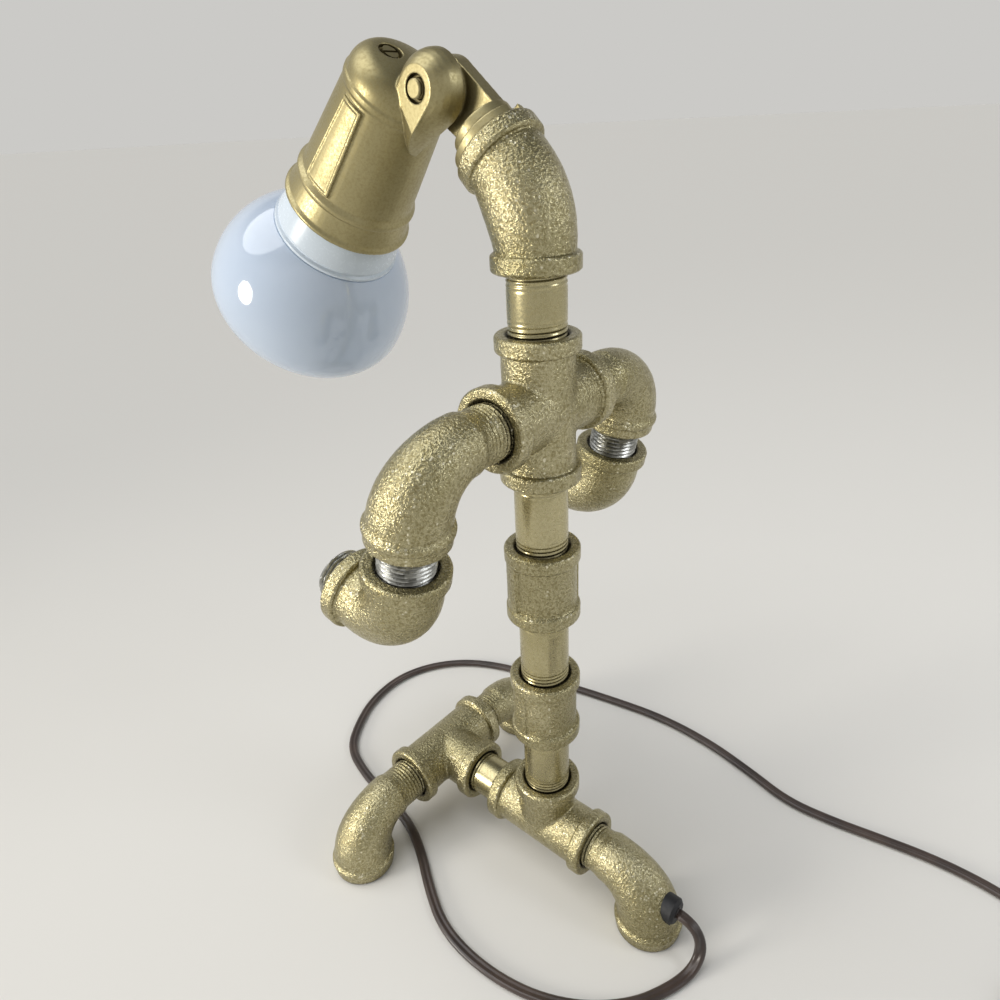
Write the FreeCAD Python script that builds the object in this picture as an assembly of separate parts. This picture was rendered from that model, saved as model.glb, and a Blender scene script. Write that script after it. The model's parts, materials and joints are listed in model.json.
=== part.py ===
import FreeCAD, Part
import math
import os

# Industrial pipe table lamp: half-inch iron pipe fittings screwed into a small standing figure,
# with a swivelling outdoor lampholder as its head. Millimetres, +Z up, the figure faces -Y and
# its left side is +X. The row origin is on the floor, under the middle of the figure.

V = FreeCAD.Vector

# half-inch taper pipe
pipe_od = 21.34
pipe_bore = 15.8
thread_pitch = 1.814
thread_depth = 1.1
thread_fade = 3
thread_crest = 0.24
port_clearance = 0.05

# malleable iron fittings
face_distance = 28.4
street_reach = 41.4
street_thread = 16.4
angle_face_distance = 22.4
band_od = 31.4
band_width = 6.3
band_chamfer = 0.8
fitting_body_od = 27.2
elbow_band_od = 32.4
elbow_body_od = 28.4
waterway = 17.0
port_depth = 16.5
mouth_inset = 1.2
mouth_depth = 1.2
elbow_bend_radius = 16.8
angle_bend_radius = 24.0
angle_body_bend = 44.0
angle_body_swell = 1.4
bend_steps = 6

# street elbows: swollen at the female port, slimmer towards the thread
street_bend_radius = 22.0
street_port_od = 29.4
street_neck_od = 23.2
street_port_depth = 10.0
street_band_od = 32.0
street_band_inset = 0.7
street_ridge_at = 5.2
street_ridge_width = 1.6
street_ridge_fall = 2.3
street_ridge_sink = 0.6

# couplings
coupling_length = 34.0
coupling_body_od = 28.2
coupling_stop_bore = 18.0
coupling_stop_width = 3.0
rib_width = 8.5
rib_height = 1.1
lower_rib_azimuth = -16.0
upper_rib_azimuth = -26.0

# nipples: total length and thread length at each end
column_nipple_length = 50.8
neck_nipple_length = 38.1
close_nipple_length = 28.6
hand_nipple_length = 17.0
column_thread = 16.3
neck_thread = 15.0

# stretches of nipple that stay in sight between the fittings
lower_gap = 31.6
middle_gap = 32.2
upper_gap = 29.9
neck_gap = 21.1
base_gap = 15.6
arm_gap = 11.4
hand_gap = 8.3

# how deep the street elbows' male ends are screwed in, and how far the arms lean back
rear_foot_engaged = 10.3
front_foot_engaged = 5.2
shoulder_engaged = 5.9
arm_lean = 12.5

# swivel arm: its pivot is placed along and across the arm's axis from the elbow's face
pivot_along = 29.10
pivot_across = -4.01
stem_engaged = 9.0
stem_bore = 12.0
arm_base_od = 22.0
arm_base_bottom = 4.2
arm_base_top = 8.0
arm_base_roof = 1.0
arm_thickness = 6.0
arm_front_width = 10.0
arm_back_width = 8.2
ear_radius = 10.2
lead_channel = 4.2
lead_pocket = 6.8
lead_pocket_inset = 1.2

# locknut on the stem
locknut_od = 28.0
locknut_height = 3.2
locknut_seat = 0.05
locknut_notch = 5.0
locknut_notch_depth = 2.0
locknut_notches = 3

# knuckle between the arm and the housing, with its screw
joint_plane = 1.4
knuckle_ring_radius = 9.5
knuckle_ring_height = 1.6
knuckle_gap = 0.1
knuckle_cavity_radius = 7.0
ear_clearance = 1.0
pocket_wall = 2.0
screw_clearance = 0.3
tapped_clearance = 0.05
pivot_screw_od = 6.0
screw_end_proud = 0.8
screw_end_pitch = 1.0
screw_end_depth = 0.4
screw_end_threads = 3
screw_head_od = 10.4
screw_head_height = 3.8
screw_slot_width = 1.4
screw_slot_depth = 1.3
washer_od = 9.6
washer_height = 1.0

# lampholder housing, turned about its own axis; places are counted from the top of its dome
housing_tilt = 47.1
housing_offset = 16.2
housing_drop = 2.7
dome_end = 10.4
dome_crown = 1.35
dome_radius = 19.0
shoulder_at = 11.4
shoulder_radius = 19.6
shoulder_land = 1.8
shoulder_fall = 0.8
shoulder_step = 0.4
body_end = 50.6
body_end_radius = 22.5
ridge_at = 53.4
ridge_radius = 24.1
ridge_land = 1.4
ridge_edge = 0.9
rim_at = 64.7
rim_radius = 25.9
rim_edge = 1.2
rim_lip = 1.6
rim_lip_depth = 2.5
housing_wall = 2.2
ceiling_at = 5.0
ceiling_round = 4.0
plate_start = 15.4
plate_end = 50.0
plate_start_width = 9.6
plate_end_width = 13.0
plate_shift = -1.4
plate_height = 1.15
plate_frame = 1.1
plate_panel_depth = 0.4

# boss at the housing's back: a ball cut flat, with a tail that sinks into the body; its outlines
# run from the round about the pivot to a corner at the front and a tip at the back
boss_radius = 12.2
boss_side_end = 2.2
boss_end = 12.0
boss_steps = 5
boss_corner = 8.0
boss_tip = 24.0
boss_tip_back = 4.0
facet_corner = 7.0
facet_tip = 12.2
facet_tip_back = 6.8
boss_cavity_end = 8.5
screw_recess_radius = 4.4
screw_recess_depth = 2.2
lead_passage = 4.3
lead_passage_length = 8.0

# top screw in the dome
top_screw_x = 4.2
top_screw_across = 5.7
top_recess_radius = 4.2
top_recess_floor = 3.0
top_screw_head_radius = 2.9
top_screw_head_height = 1.9
top_screw_radius = 1.9
top_screw_end = 12.0
top_slot = 0.9
top_slot_angle = 35.0

# socket for a medium screw base
socket_radius = 15.0
socket_clearance = 0.4
socket_end = 46.0
socket_floor = 18.0
shell_inner_radius = 13.25
shell_thickness = 0.4
shell_recess = 1.0
shell_start = 21.0
socket_flat = 10.6
socket_flat_end = 16.6
terminal_at = 13.4
terminal_near_x = 4.4
terminal_far_x = 8.4
terminal_radius = 1.9
terminal_height = 1.2
contact_radius = 4.5
contact_gap = 0.05

# bulb's screw base
cap_start = 23.2
cap_end = 44.6
cap_radius = 13.05
cap_root_radius = 12.25
cap_crest = 0.4
cap_pitch = 3.63
cap_turns = 5
cap_wall = 0.7
cap_cone = 3.0
cap_cone_height = 1.5
cap_hole_radius = 6.4
tip_length = 3.2
tip_radius = 4.4
insulator_rise = 1.6
insulator_radius = 8.4

# reflector bulb
collar_root_radius = 12.6
collar_root_end = 48.0
collar_swell_at = 59.7
collar_swell_radius = 22.2
collar_mouth_radius = 23.0
collar_end = 80.0
collar_end_radius = 26.3
collar_edge = 0.8
collar_wall = 1.6
globe_radius = 44.0
globe_widest = 116.0
globe_front = 144.5
globe_back_reach = 45.0
globe_wall = 1.2
globe_steps = 14
globe_seat = 0.05
gasket_gap = 0.3
gasket_start = 62.4
gasket_height = 1.6
gasket_seat = 0.05
board_thickness = 1.6
board_clearance = 0.1

# cord: flat twin lead, held as a round tube of its width
cord_width = 5.3
cord_thickness = 2.9
cord_hole_clearance = 0.05
lead_radius = 0.85
lead_spacing = 1.9
lead_turn_at = 2.6
lead_turn_in = 1.2
lead_drop_at = 7.6
splice_drop = 10.9
splice_length = 18.0
splice_radius = 2.3
splice_gap = 0.2

# grommet in the rear foot's back
grommet_height = 20.0
grommet_hole = 9.6
grommet_flange = 12.6
grommet_face = 14.6
grommet_inner = 6.6
grommet_round = 1.4

# in-line switch
switch_length = 58.0
switch_width = 25.0
switch_height = 17.0
switch_corner = 9.0
switch_wall = 1.6
switch_split = 8.0
switch_post_radius = 3.2
switch_screw_x = 20.0
switch_screw_y = 6.6
switch_screw_radius = 1.4
switch_screw_head_radius = 2.3
switch_screw_head_height = 1.4
switch_screw_recess = 0.5
switch_screw_bite = 6.0
switch_contact_x = 11.0
switch_contact_y = 5.2
switch_contact_length = 5.0
switch_contact_width = 2.4
switch_contact_height = 6.2
rocker_length = 16.4
rocker_width = 9.6
rocker_axis_height = 12.4
rocker_below = 2.0
rocker_rise = 5.6
rocker_dip = 1.0
rocker_pin_radius = 1.1
rocker_pin_reach = 2.3
rocker_pin_clearance = 0.08
rocker_end_clearance = 1.1
rocker_side_clearance = 0.4
rocker_lug_thickness = 2.0
rocker_lug_width = 6.0
rocker_rest_angle = 8.0

# coil of the spare length: layers of turns round one middle, held by a strap
coil_turns_across = 3
coil_layers = 2
coil_middle_radius = 29.0
coil_turn_step = 5.5
coil_layer_step = 3.0
coil_lift = 1.0
coil_in_azimuth = 99.7
coil_out_azimuth = 20.0
coil_round = 0.8
tie_azimuth = -70.0
tie_width = 9.0
tie_thickness = 0.9
tie_clearance = 0.05

# plug
plug_relief_length = 14.0
plug_relief_radius = 4.0
plug_relief_ribs = 4
plug_relief_growth = 0.3
plug_rib_width = 1.6
plug_rib_depth = 0.5
plug_length = 25.0
plug_neck_length = 7.0
plug_neck_width = 13.0
plug_neck_thick = 11.0
plug_width = 24.0
plug_thick = 15.0
blade_spacing = 12.7
blade_thick = 1.5
blade_height = 6.35
blade_length = 17.5
blade_root = 8.0

pipe_r = pipe_od / 2
port_r = pipe_r + port_clearance
band_r = band_od / 2
mouth_r = port_r + mouth_inset
body_r = fitting_body_od / 2
cord_radius = cord_width / 2
X = V(1, 0, 0)
Y = V(0, 1, 0)
Z = V(0, 0, 1)

# heights up the column
run_height = face_distance
base_top = run_height + face_distance
lower_coupling_base = base_top + lower_gap
upper_coupling_base = lower_coupling_base + coupling_length + middle_gap
cross_centre = upper_coupling_base + coupling_length + upper_gap + face_distance
neck_base = cross_centre + face_distance
neck_centre = neck_base + neck_gap + angle_face_distance
splice_base = cross_centre - splice_drop

# places of the feet and arms
rear_foot_y = face_distance - rear_foot_engaged + street_reach
front_tee_y = -(2 * face_distance + base_gap)
front_foot_x = face_distance - front_foot_engaged + street_reach
shoulder_x = face_distance - shoulder_engaged + street_reach

# directions of the head, all in the plane X = 0
arm_dir = V(0, -math.sqrt(0.5), math.sqrt(0.5))
arm_across = V(0, math.sqrt(0.5), math.sqrt(0.5))
tilt = math.radians(housing_tilt)
head_dir = V(0, -math.cos(tilt), -math.sin(tilt))
head_front = V(0, -math.sin(tilt), math.cos(tilt))
arm_face = V(0, 0, neck_centre) + arm_dir * angle_face_distance
pivot = arm_face + arm_dir * pivot_along + arm_across * pivot_across
head_origin = pivot + head_front * housing_offset + head_dir * housing_drop

# faces of the knuckle, from the housing's side of the joint to the screw's head
housing_ring_end = joint_plane - knuckle_ring_height
arm_ring_start = housing_ring_end - knuckle_gap
arm_near = arm_ring_start - knuckle_ring_height
arm_far = arm_near - arm_thickness
arm_middle_x = (arm_near + arm_far) / 2
washer_near = arm_far - knuckle_gap / 2
head_near = washer_near - washer_height
pocket_radius = ear_radius + ear_clearance
lead_first_x = joint_plane + pocket_wall + 2 * lead_radius

# size of the coil
coil_half_width = (coil_turns_across - 1) / 2 * coil_turn_step + cord_radius
coil_outer_radius = coil_middle_radius + coil_half_width
coil_inner_radius = coil_middle_radius - coil_half_width
coil_height = (coil_layers - 1) * coil_layer_step + cord_thickness
coil_turn_radius = coil_outer_radius - cord_radius
coil_stub = math.sqrt(coil_outer_radius ** 2 - (coil_turn_radius - cord_radius) ** 2) + tie_clearance

# the cord's route on the floor, from the grommet to the switch, and what lies beyond
floor_level = cord_radius
switch_dir = V(0.986, 0.168, 0).normalize()
switch_entry = V(-84, 217, 5.6)
switch_exit = switch_entry + switch_dir * switch_length
coil_centre = V(20, 199, coil_lift)
plug_dir = V(0.12, -0.99, 0).normalize()
plug_entry = V(65.5, 168, plug_thick / 2 + 0.1)
cord_points = [
    V(0, rear_foot_y + grommet_face, grommet_height),
    V(0, 80.2, grommet_height), V(0.7, 86.2, 14.6), V(3.2, 87.8, 7.2),
    V(10.4, 86.8, floor_level),
    V(22, 82.8, floor_level), V(37, 74.5, floor_level), V(52.5, 58, floor_level),
    V(63, 37, floor_level), V(67.5, 12, floor_level), V(65.5, -13, floor_level),
    V(55.5, -33, floor_level), V(44.5, -50, floor_level), V(36, -68, floor_level),
    V(32.5, -90, floor_level), V(28.5, -117, floor_level), V(21.5, -138, floor_level),
    V(6, -150, floor_level), V(-14, -160, floor_level), V(-40, -163, floor_level),
    V(-64, -154, floor_level), V(-84, -135, floor_level), V(-97, -107, floor_level),
    V(-105, -72, floor_level), V(-113, -38, floor_level), V(-119.5, -3, floor_level),
    V(-119, 30, floor_level), V(-113, 60, floor_level), V(-106.5, 84, floor_level),
    V(-109, 108, floor_level), V(-113.5, 130, floor_level), V(-118, 155, floor_level),
    V(-118.5, 178, floor_level), V(-115.5, 195, floor_level), V(-107, 208, 3.6),
    switch_entry - switch_dir * 12, switch_entry,
]
cord_names = ("cord_run", "cord_lead", "cord_tail", "cord_coil", "coil_tie", "switch_base",
              "switch_cover", "switch_rocker", "switch_contacts", "switch_screws", "switch_cord",
              "plug_body", "plug_blades", "plug_relief", "plug_cord")


def turned_to(shape, origin, direction):
    """A shape built along +Z, laid along a direction from an origin."""
    shape = shape.copy()
    shape.Placement = FreeCAD.Placement(origin, FreeCAD.Rotation(Z, direction))
    return shape


def rod(radius, origin, direction, length):
    return Part.makeCylinder(radius, length, origin, direction)


def ring(radius, bore, origin, direction, length):
    return rod(radius, origin, direction, length).cut(rod(bore, origin, direction, length))


def lathe(points, origin, direction):
    """Solid of revolution from (radius, place along the axis) points."""
    outline = [V(radius, 0, place) for radius, place in points]
    face = Part.Face(Part.makePolygon(outline + outline[:1]))
    return turned_to(face.revolve(V(), Z, 360), origin, direction)


def band(face, direction, radius=band_r):
    """Raised band of a port, running back from the port's face."""
    edge = radius - band_chamfer
    points = [(0, 0), (edge, 0), (radius, band_chamfer), (radius, band_width - band_chamfer),
              (edge, band_width), (0, band_width)]
    return lathe(points, face, direction * -1)


def mouth(face, direction, depth):
    """Space of a threaded port, opened out into a cone at its face."""
    points = [(0, 0), (mouth_r, 0), (port_r, mouth_depth), (port_r, depth), (0, depth)]
    return lathe(points, face, direction * -1)


def port(centre, direction):
    """Space inside one port: the bore for the thread and the waterway down to the centre."""
    face = centre + direction * face_distance
    bore = mouth(face, direction, port_depth)
    return bore.fuse(rod(waterway / 2, face, direction * -1, face_distance))


def thread_ridges(start, end, fade_at_end=True):
    """Outline points of a row of thread ridges between two places, shallow where they fade out."""
    count = int((end - start) / thread_pitch)
    points = []
    for turn in range(count):
        left = count - turn if fade_at_end else turn + 1
        depth = thread_depth * min(1.0, left / (thread_fade + 1))
        foot = start + turn * thread_pitch
        points.append((pipe_r - depth, foot))
        points.append((pipe_r, foot + (1 - thread_crest) / 2 * thread_pitch))
        points.append((pipe_r, foot + (1 + thread_crest) / 2 * thread_pitch))
    return points


def nipple(length, thread, origin, direction):
    """Pipe nipple with a thread at each end."""
    bore = pipe_bore / 2
    points = [(bore, 0)]
    points += thread_ridges(0, thread)
    points += [(pipe_r, thread), (pipe_r, length - thread)]
    points += thread_ridges(length - thread, length, fade_at_end=False)
    points += [(pipe_r - thread_depth, length), (bore, length)]
    return lathe(points, origin, direction)


def close_nipple(length, origin, direction):
    """Short nipple that is threaded from end to end."""
    bore = pipe_bore / 2
    points = [(bore, 0)] + thread_ridges(0, length, fade_at_end=False)
    points += [(pipe_r - thread_depth, length), (bore, length)]
    return lathe(points, origin, direction)


def bend(radius, centre, dir_a, dir_b, bend_radius):
    """Round bar bent from one leg's direction to the other's, and where its legs begin."""
    turn = math.pi - dir_a.getAngle(dir_b)
    start = bend_radius * math.tan(turn / 2)
    middle = centre + (dir_a + dir_b).normalize() * (bend_radius / math.cos(turn / 2))
    disc = Part.Face(Part.Wire(Part.makeCircle(radius, centre + dir_a * start, dir_a)))
    axis = (dir_a * -1).cross(dir_b)
    return disc.revolve(middle, axis, math.degrees(turn)), start


def swelling_bend(radii, centre, dir_a, dir_b, bend_radius):
    """Bent bar with its own radius at even steps of the bend, and where its legs begin."""
    turn = math.pi - dir_a.getAngle(dir_b)
    start = bend_radius * math.tan(turn / 2)
    middle = centre + (dir_a + dir_b).normalize() * (bend_radius / math.cos(turn / 2))
    axis = (dir_a * -1).cross(dir_b)
    sections = []
    for step, radius in enumerate(radii):
        section = Part.Wire(Part.makeCircle(radius, centre + dir_a * start, dir_a))
        section.rotate(middle, axis, math.degrees(turn) * step / (len(radii) - 1))
        sections.append(section)
    return Part.makeLoft(sections, True, False), start


def elbow(centre, dir_a, dir_b):
    """Right-angled elbow with a banded female port at both ends."""
    radius = elbow_body_od / 2
    shape, start = bend(radius, centre, dir_a, dir_b, elbow_bend_radius)
    hollow = bend(waterway / 2, centre, dir_a, dir_b, elbow_bend_radius)[0]
    for direction in (dir_a, dir_b):
        face = centre + direction * face_distance
        leg = face_distance - start
        shape = shape.fuse(rod(radius, face, direction * -1, leg))
        shape = shape.fuse(band(face, direction, elbow_band_od / 2))
        hollow = hollow.fuse(rod(waterway / 2, face, direction * -1, leg))
        hollow = hollow.fuse(mouth(face, direction, leg))
    return shape.cut(hollow).removeSplitter()


def angle_elbow(centre, dir_a, dir_b):
    """Half-angle elbow, fuller at the middle of its bend, with a banded port at both ends."""
    radii = [body_r + angle_body_swell * math.sin(math.pi * step / bend_steps)
             for step in range(bend_steps + 1)]
    shape, body_start = swelling_bend(radii, centre, dir_a, dir_b, angle_body_bend)
    hollow, start = bend(waterway / 2, centre, dir_a, dir_b, angle_bend_radius)
    for direction in (dir_a, dir_b):
        face = centre + direction * angle_face_distance
        leg = angle_face_distance - start
        shape = shape.fuse(rod(body_r, face, direction * -1, angle_face_distance - body_start))
        shape = shape.fuse(band(face, direction))
        hollow = hollow.fuse(rod(waterway / 2, face, direction * -1, leg))
        hollow = hollow.fuse(mouth(face, direction, leg))
    return shape.cut(hollow).removeSplitter()


def street_outside():
    """Outside of a street elbow with its female port down and its thread towards -X."""
    port_end = street_port_od / 2
    neck_end = street_neck_od / 2
    radii = []
    for step in range(bend_steps + 1):
        blend = (1 - math.cos(math.pi * step / bend_steps)) / 2
        radii.append(port_end + (neck_end - port_end) * blend)
    down = Z * -1
    shape, start = swelling_bend(radii, V(), down, X * -1, street_bend_radius)
    face = down * face_distance
    shape = shape.fuse(rod(port_end, face, Z, face_distance - start))
    ridge = street_band_od / 2
    edge = ridge - street_band_inset
    ridge_end = street_ridge_at + street_ridge_width
    points = [(0, 0), (edge - band_chamfer, 0), (edge, band_chamfer),
              (edge, street_ridge_at - street_band_inset), (ridge, street_ridge_at),
              (ridge, ridge_end), (port_end - street_ridge_sink, ridge_end + street_ridge_fall),
              (0, ridge_end + street_ridge_fall)]
    shape = shape.fuse(lathe(points, face, Z))
    threads = [(radius, street_reach - place) for radius, place in thread_ridges(0, street_thread)]
    points = [(0, start), (neck_end, start), (pipe_r, street_reach - street_thread)]
    points += threads[::-1] + [(0, street_reach)]
    return shape.fuse(lathe(points, V(), X * -1)), start


def placed_street(shape, centre, female, male):
    """A street elbow's shape, turned and moved to its place."""
    shape.Placement = FreeCAD.Placement(centre, FreeCAD.Rotation(male * -1, V(), female * -1, "ZXY"))
    return shape


def street_elbow(centre, female, male):
    """Elbow with a female port and a threaded male end, built one way round and then turned."""
    outer, start = street_outside()
    bore = pipe_bore / 2
    down = Z * -1
    face = down * face_distance
    hollow = bend(bore, V(), down, X * -1, street_bend_radius)[0]
    hollow = hollow.fuse(rod(bore, X * -street_reach, X, street_reach - start))
    hollow = hollow.fuse(rod(bore, face, Z, face_distance - start))
    hollow = hollow.fuse(mouth(face, down, street_port_depth))
    return placed_street(outer.cut(hollow).removeSplitter(), centre, female, male)


def hub(centre, directions):
    """Tee or cross: one banded port along each direction."""
    shape = Part.makeSphere(body_r, centre)
    for direction in directions:
        leg = rod(body_r, centre, direction, face_distance)
        shape = shape.fuse(leg).fuse(band(centre + direction * face_distance, direction))
    for direction in directions:
        shape = shape.cut(port(centre, direction))
    return shape.removeSplitter()


def coupling(base, rib_azimuth):
    """Straight coupling with a band at both ends and two cast ribs along its body."""
    top = base + Z * coupling_length
    shape = rod(coupling_body_od / 2, base, Z, coupling_length)
    shape = shape.fuse(band(base, Z * -1)).fuse(band(top, Z))
    reach = coupling_body_od / 2 + rib_height
    rib = Part.makeBox(2 * reach, rib_width, coupling_length - 2 * band_chamfer,
                       base + V(-reach, -rib_width / 2, band_chamfer))
    rib.rotate(base, Z, rib_azimuth)
    shape = shape.fuse(rib.common(rod(reach, base, Z, coupling_length)))
    stop = (coupling_length - coupling_stop_width) / 2
    hollow = rod(coupling_stop_bore / 2, base, Z, coupling_length)
    hollow = hollow.fuse(mouth(base, Z * -1, stop)).fuse(mouth(top, Z, stop))
    return shape.cut(hollow).removeSplitter()


def route(points):
    """Straight runs joined by tangent arcs, each arc as large as its two runs allow."""
    edges = []
    radii = []
    start = points[0]
    for before, here, after in zip(points, points[1:], points[2:]):
        back = before - here
        ahead = after - here
        turn = math.pi - back.getAngle(ahead)
        reach = 0.45 * min(back.Length, ahead.Length)
        radii.append(reach / math.tan(turn / 2))
        arc_start = here + back.normalize() * reach
        arc_end = here + ahead.normalize() * reach
        inward = (back + ahead).normalize()
        middle = here + inward * (radii[-1] * (1 / math.cos(turn / 2) - 1))
        edges.append(Part.LineSegment(start, arc_start).toShape())
        edges.append(Part.Arc(arc_start, middle, arc_end).toShape())
        start = arc_end
    edges.append(Part.LineSegment(start, points[-1]).toShape())
    return Part.Wire(edges), radii


def tube(points, radius, name):
    """Round cord along a route; tells its length, its radii and how full its volume is."""
    wire, radii = route(points)
    first = (points[1] - points[0]).normalize()
    section = Part.Wire(Part.makeCircle(radius, points[0], first))
    solid = wire.makePipeShell([section], True, False, 2)
    expected = math.pi * radius ** 2 * wire.Length
    print(name, "length", round(wire.Length, 1), "radii", [round(value) for value in radii],
          "volume ratio", round(solid.Volume / expected, 5))
    return solid


def feet_and_column():
    """The iron frame that stands on the floor: feet, tees, nipples, couplings and cross."""
    rear_foot = street_elbow(V(0, rear_foot_y, run_height), Z * -1, Y * -1)
    hole = rod(grommet_hole / 2, V(0, rear_foot_y, grommet_height), Y, band_od)
    base_nipple_y = -face_distance + (neck_nipple_length - base_gap) / 2
    neck_start = neck_base - (neck_nipple_length - neck_gap) / 2
    nodes = {
        "rear_foot": rear_foot.cut(hole),
        "base_tee": hub(V(0, 0, run_height), (Z, Y, Y * -1)),
        "base_nipple": nipple(neck_nipple_length, neck_thread, V(0, base_nipple_y, run_height),
                              Y * -1),
        "front_tee": hub(V(0, front_tee_y, run_height), (X, X * -1, Y)),
        "lower_coupling": coupling(V(0, 0, lower_coupling_base), lower_rib_azimuth),
        "upper_coupling": coupling(V(0, 0, upper_coupling_base), upper_rib_azimuth),
        "body_cross": hub(V(0, 0, cross_centre), (Z, Z * -1, X, X * -1)),
        "neck_nipple": nipple(neck_nipple_length, neck_thread, V(0, 0, neck_start), Z),
    }
    for name, base, gap in (("lower_nipple", base_top, lower_gap),
                            ("middle_nipple", lower_coupling_base + coupling_length, middle_gap),
                            ("upper_nipple", upper_coupling_base + coupling_length, upper_gap)):
        start = base - (column_nipple_length - gap) / 2
        nodes[name] = nipple(column_nipple_length, column_thread, V(0, 0, start), Z)
    for side, name in ((1, "left_foot"), (-1, "right_foot")):
        centre = V(side * front_foot_x, front_tee_y, run_height)
        nodes[name] = street_elbow(centre, Z * -1, X * -side)
    return nodes


def arms():
    """Both arms: shoulder elbow, galvanised nipple, forearm elbow and the stub of the hand."""
    lean = math.radians(arm_lean)
    down = V(0, -math.sin(lean), -math.cos(lean))
    forward = V(0, -math.cos(lean), math.sin(lean))
    nodes = {}
    for side, word in ((1, "left"), (-1, "right")):
        shoulder = V(side * shoulder_x, 0, cross_centre)
        nodes[word + "_shoulder"] = street_elbow(shoulder, down, X * -side)
        start = face_distance - (close_nipple_length - arm_gap) / 2
        nodes[word + "_arm_nipple"] = close_nipple(close_nipple_length, shoulder + down * start, down)
        wrist = shoulder + down * (2 * face_distance + arm_gap)
        nodes[word + "_forearm"] = elbow(wrist, down * -1, forward)
        hand = wrist + forward * (face_distance + hand_gap - hand_nipple_length)
        nodes[word + "_hand_nipple"] = close_nipple(hand_nipple_length, hand, forward)
    return nodes


def on_arm(along, across, x=0.0):
    """Point on the swivel arm: along its axis, across it, and to the left."""
    return arm_face + arm_dir * along + arm_across * across + X * x


def on_head(place, across, x=0.0):
    """Point in the head: along its axis, towards its front, and to its left."""
    return head_origin + head_dir * place + head_front * across + X * x


# the leads' way from the knuckle's cavity into the housing
leads_enter = on_head(lead_turn_at, -housing_offset + lead_turn_in, lead_first_x + lead_spacing / 2)
leads_way = on_head(lead_drop_at, -socket_flat - lead_radius) - on_head(
    lead_turn_at, -housing_offset + lead_turn_in)


def swivel_arm():
    """Cast arm: hollow threaded stem, round base, flat bar and the ear at the knuckle."""
    root = pipe_r - thread_depth
    stem = [(0, -stem_engaged)] + thread_ridges(-stem_engaged, arm_base_bottom)
    stem += [(root, arm_base_bottom), (arm_base_od / 2, arm_base_bottom),
             (arm_base_od / 2, arm_base_top), (0, arm_base_top)]
    shape = lathe(stem, arm_face, arm_dir)
    outline = [on_arm(arm_base_bottom, -arm_front_width, arm_far),
               on_arm(arm_base_bottom, arm_back_width, arm_far),
               on_arm(pivot_along, pivot_across + ear_radius, arm_far),
               on_arm(pivot_along, pivot_across - ear_radius, arm_far)]
    bar = Part.Face(Part.makePolygon(outline + outline[:1])).extrude(X * arm_thickness)
    ear = rod(ear_radius, pivot + X * arm_far, X, arm_thickness)
    shape = shape.fuse(bar).fuse(ear)
    shape = shape.fuse(rod(knuckle_ring_radius, pivot + X * arm_near, X, knuckle_ring_height))
    roof = arm_base_top - arm_base_roof
    shape = shape.cut(rod(stem_bore / 2, on_arm(-stem_engaged, 0), arm_dir, stem_engaged + roof))
    pocket_x = arm_middle_x + lead_pocket_inset
    shape = shape.cut(rod(lead_pocket / 2, on_arm(arm_base_bottom, 0, pocket_x), arm_dir,
                          roof - arm_base_bottom))
    channel = on_arm(arm_base_bottom + lead_channel / 2, 0, arm_middle_x)
    into_ear = pivot + X * arm_middle_x - channel
    shape = shape.cut(rod(lead_channel / 2, channel, into_ear, into_ear.Length))
    floor = arm_middle_x - lead_channel / 2
    shape = shape.cut(rod(knuckle_cavity_radius, pivot + X * floor, X, arm_ring_start - floor))
    hole = pivot_screw_od / 2 + screw_clearance
    return shape.cut(rod(hole, pivot + X * arm_far, X, arm_thickness)).removeSplitter()


def arm_locknut():
    """Thin notched ring that locks the arm's stem on the elbow."""
    nut = ring(locknut_od / 2, port_r, on_arm(locknut_seat, 0), arm_dir,
               locknut_height - locknut_seat)
    inner = locknut_od / 2 - locknut_notch_depth
    for turn in range(locknut_notches):
        notch = Part.makeBox(locknut_notch, 2 * locknut_notch_depth, 2 * locknut_height,
                             V(-locknut_notch / 2, inner, -locknut_height / 2))
        notch.rotate(V(), Z, 30 + turn * 360 / locknut_notches)
        nut = nut.cut(turned_to(notch, arm_face, arm_dir))
    return nut


def pivot_screw():
    """Slotted screw that clamps the arm's ear to the housing, its threaded end in sight."""
    radius = pivot_screw_od / 2
    end = boss_end + screw_end_proud
    threads = end - screw_end_threads * screw_end_pitch
    points = [(0, head_near), (radius, head_near), (radius, threads)]
    for turn in range(screw_end_threads):
        foot = threads + turn * screw_end_pitch
        points += [(radius, foot + screw_end_pitch / 4),
                   (radius - screw_end_depth, foot + screw_end_pitch / 2),
                   (radius, foot + screw_end_pitch * 3 / 4)]
    points += [(radius - screw_end_depth, end), (0, end)]
    shank = lathe(points, V(0, pivot.y, pivot.z), X)
    head_start = pivot + X * (head_near - screw_head_height)
    head = rod(screw_head_od / 2, head_start, X, screw_head_height)
    slot = Part.makeBox(screw_slot_width, 2 * screw_head_od, screw_slot_depth,
                        V(-screw_slot_width / 2, -screw_head_od, 0))
    return shank.fuse(head.cut(turned_to(slot, head_start, X))).removeSplitter()


def lock_washer():
    return ring(washer_od / 2, pivot_screw_od / 2 + tapped_clearance, pivot + X * head_near, X,
                washer_height)


def boss_outline(x, radius, corner, tip, tip_back):
    """Outline of the boss at one X: round about the pivot, then out to a corner and a tip."""
    centre = V(x, pivot.y, pivot.z)
    reach = math.hypot(tip, tip_back)
    around = math.atan2(tip_back, tip) + math.acos(radius / reach)
    meet = centre + (head_dir * math.cos(around) - head_front * math.sin(around)) * radius
    front = centre + head_front * radius
    end = centre + head_dir * tip - head_front * tip_back
    turn = front + head_dir * corner
    return Part.Wire([Part.LineSegment(end, turn).toShape(), Part.LineSegment(turn, front).toShape(),
                      Part.Arc(front, centre - head_dir * radius, meet).toShape(),
                      Part.LineSegment(meet, end).toShape()])


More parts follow.
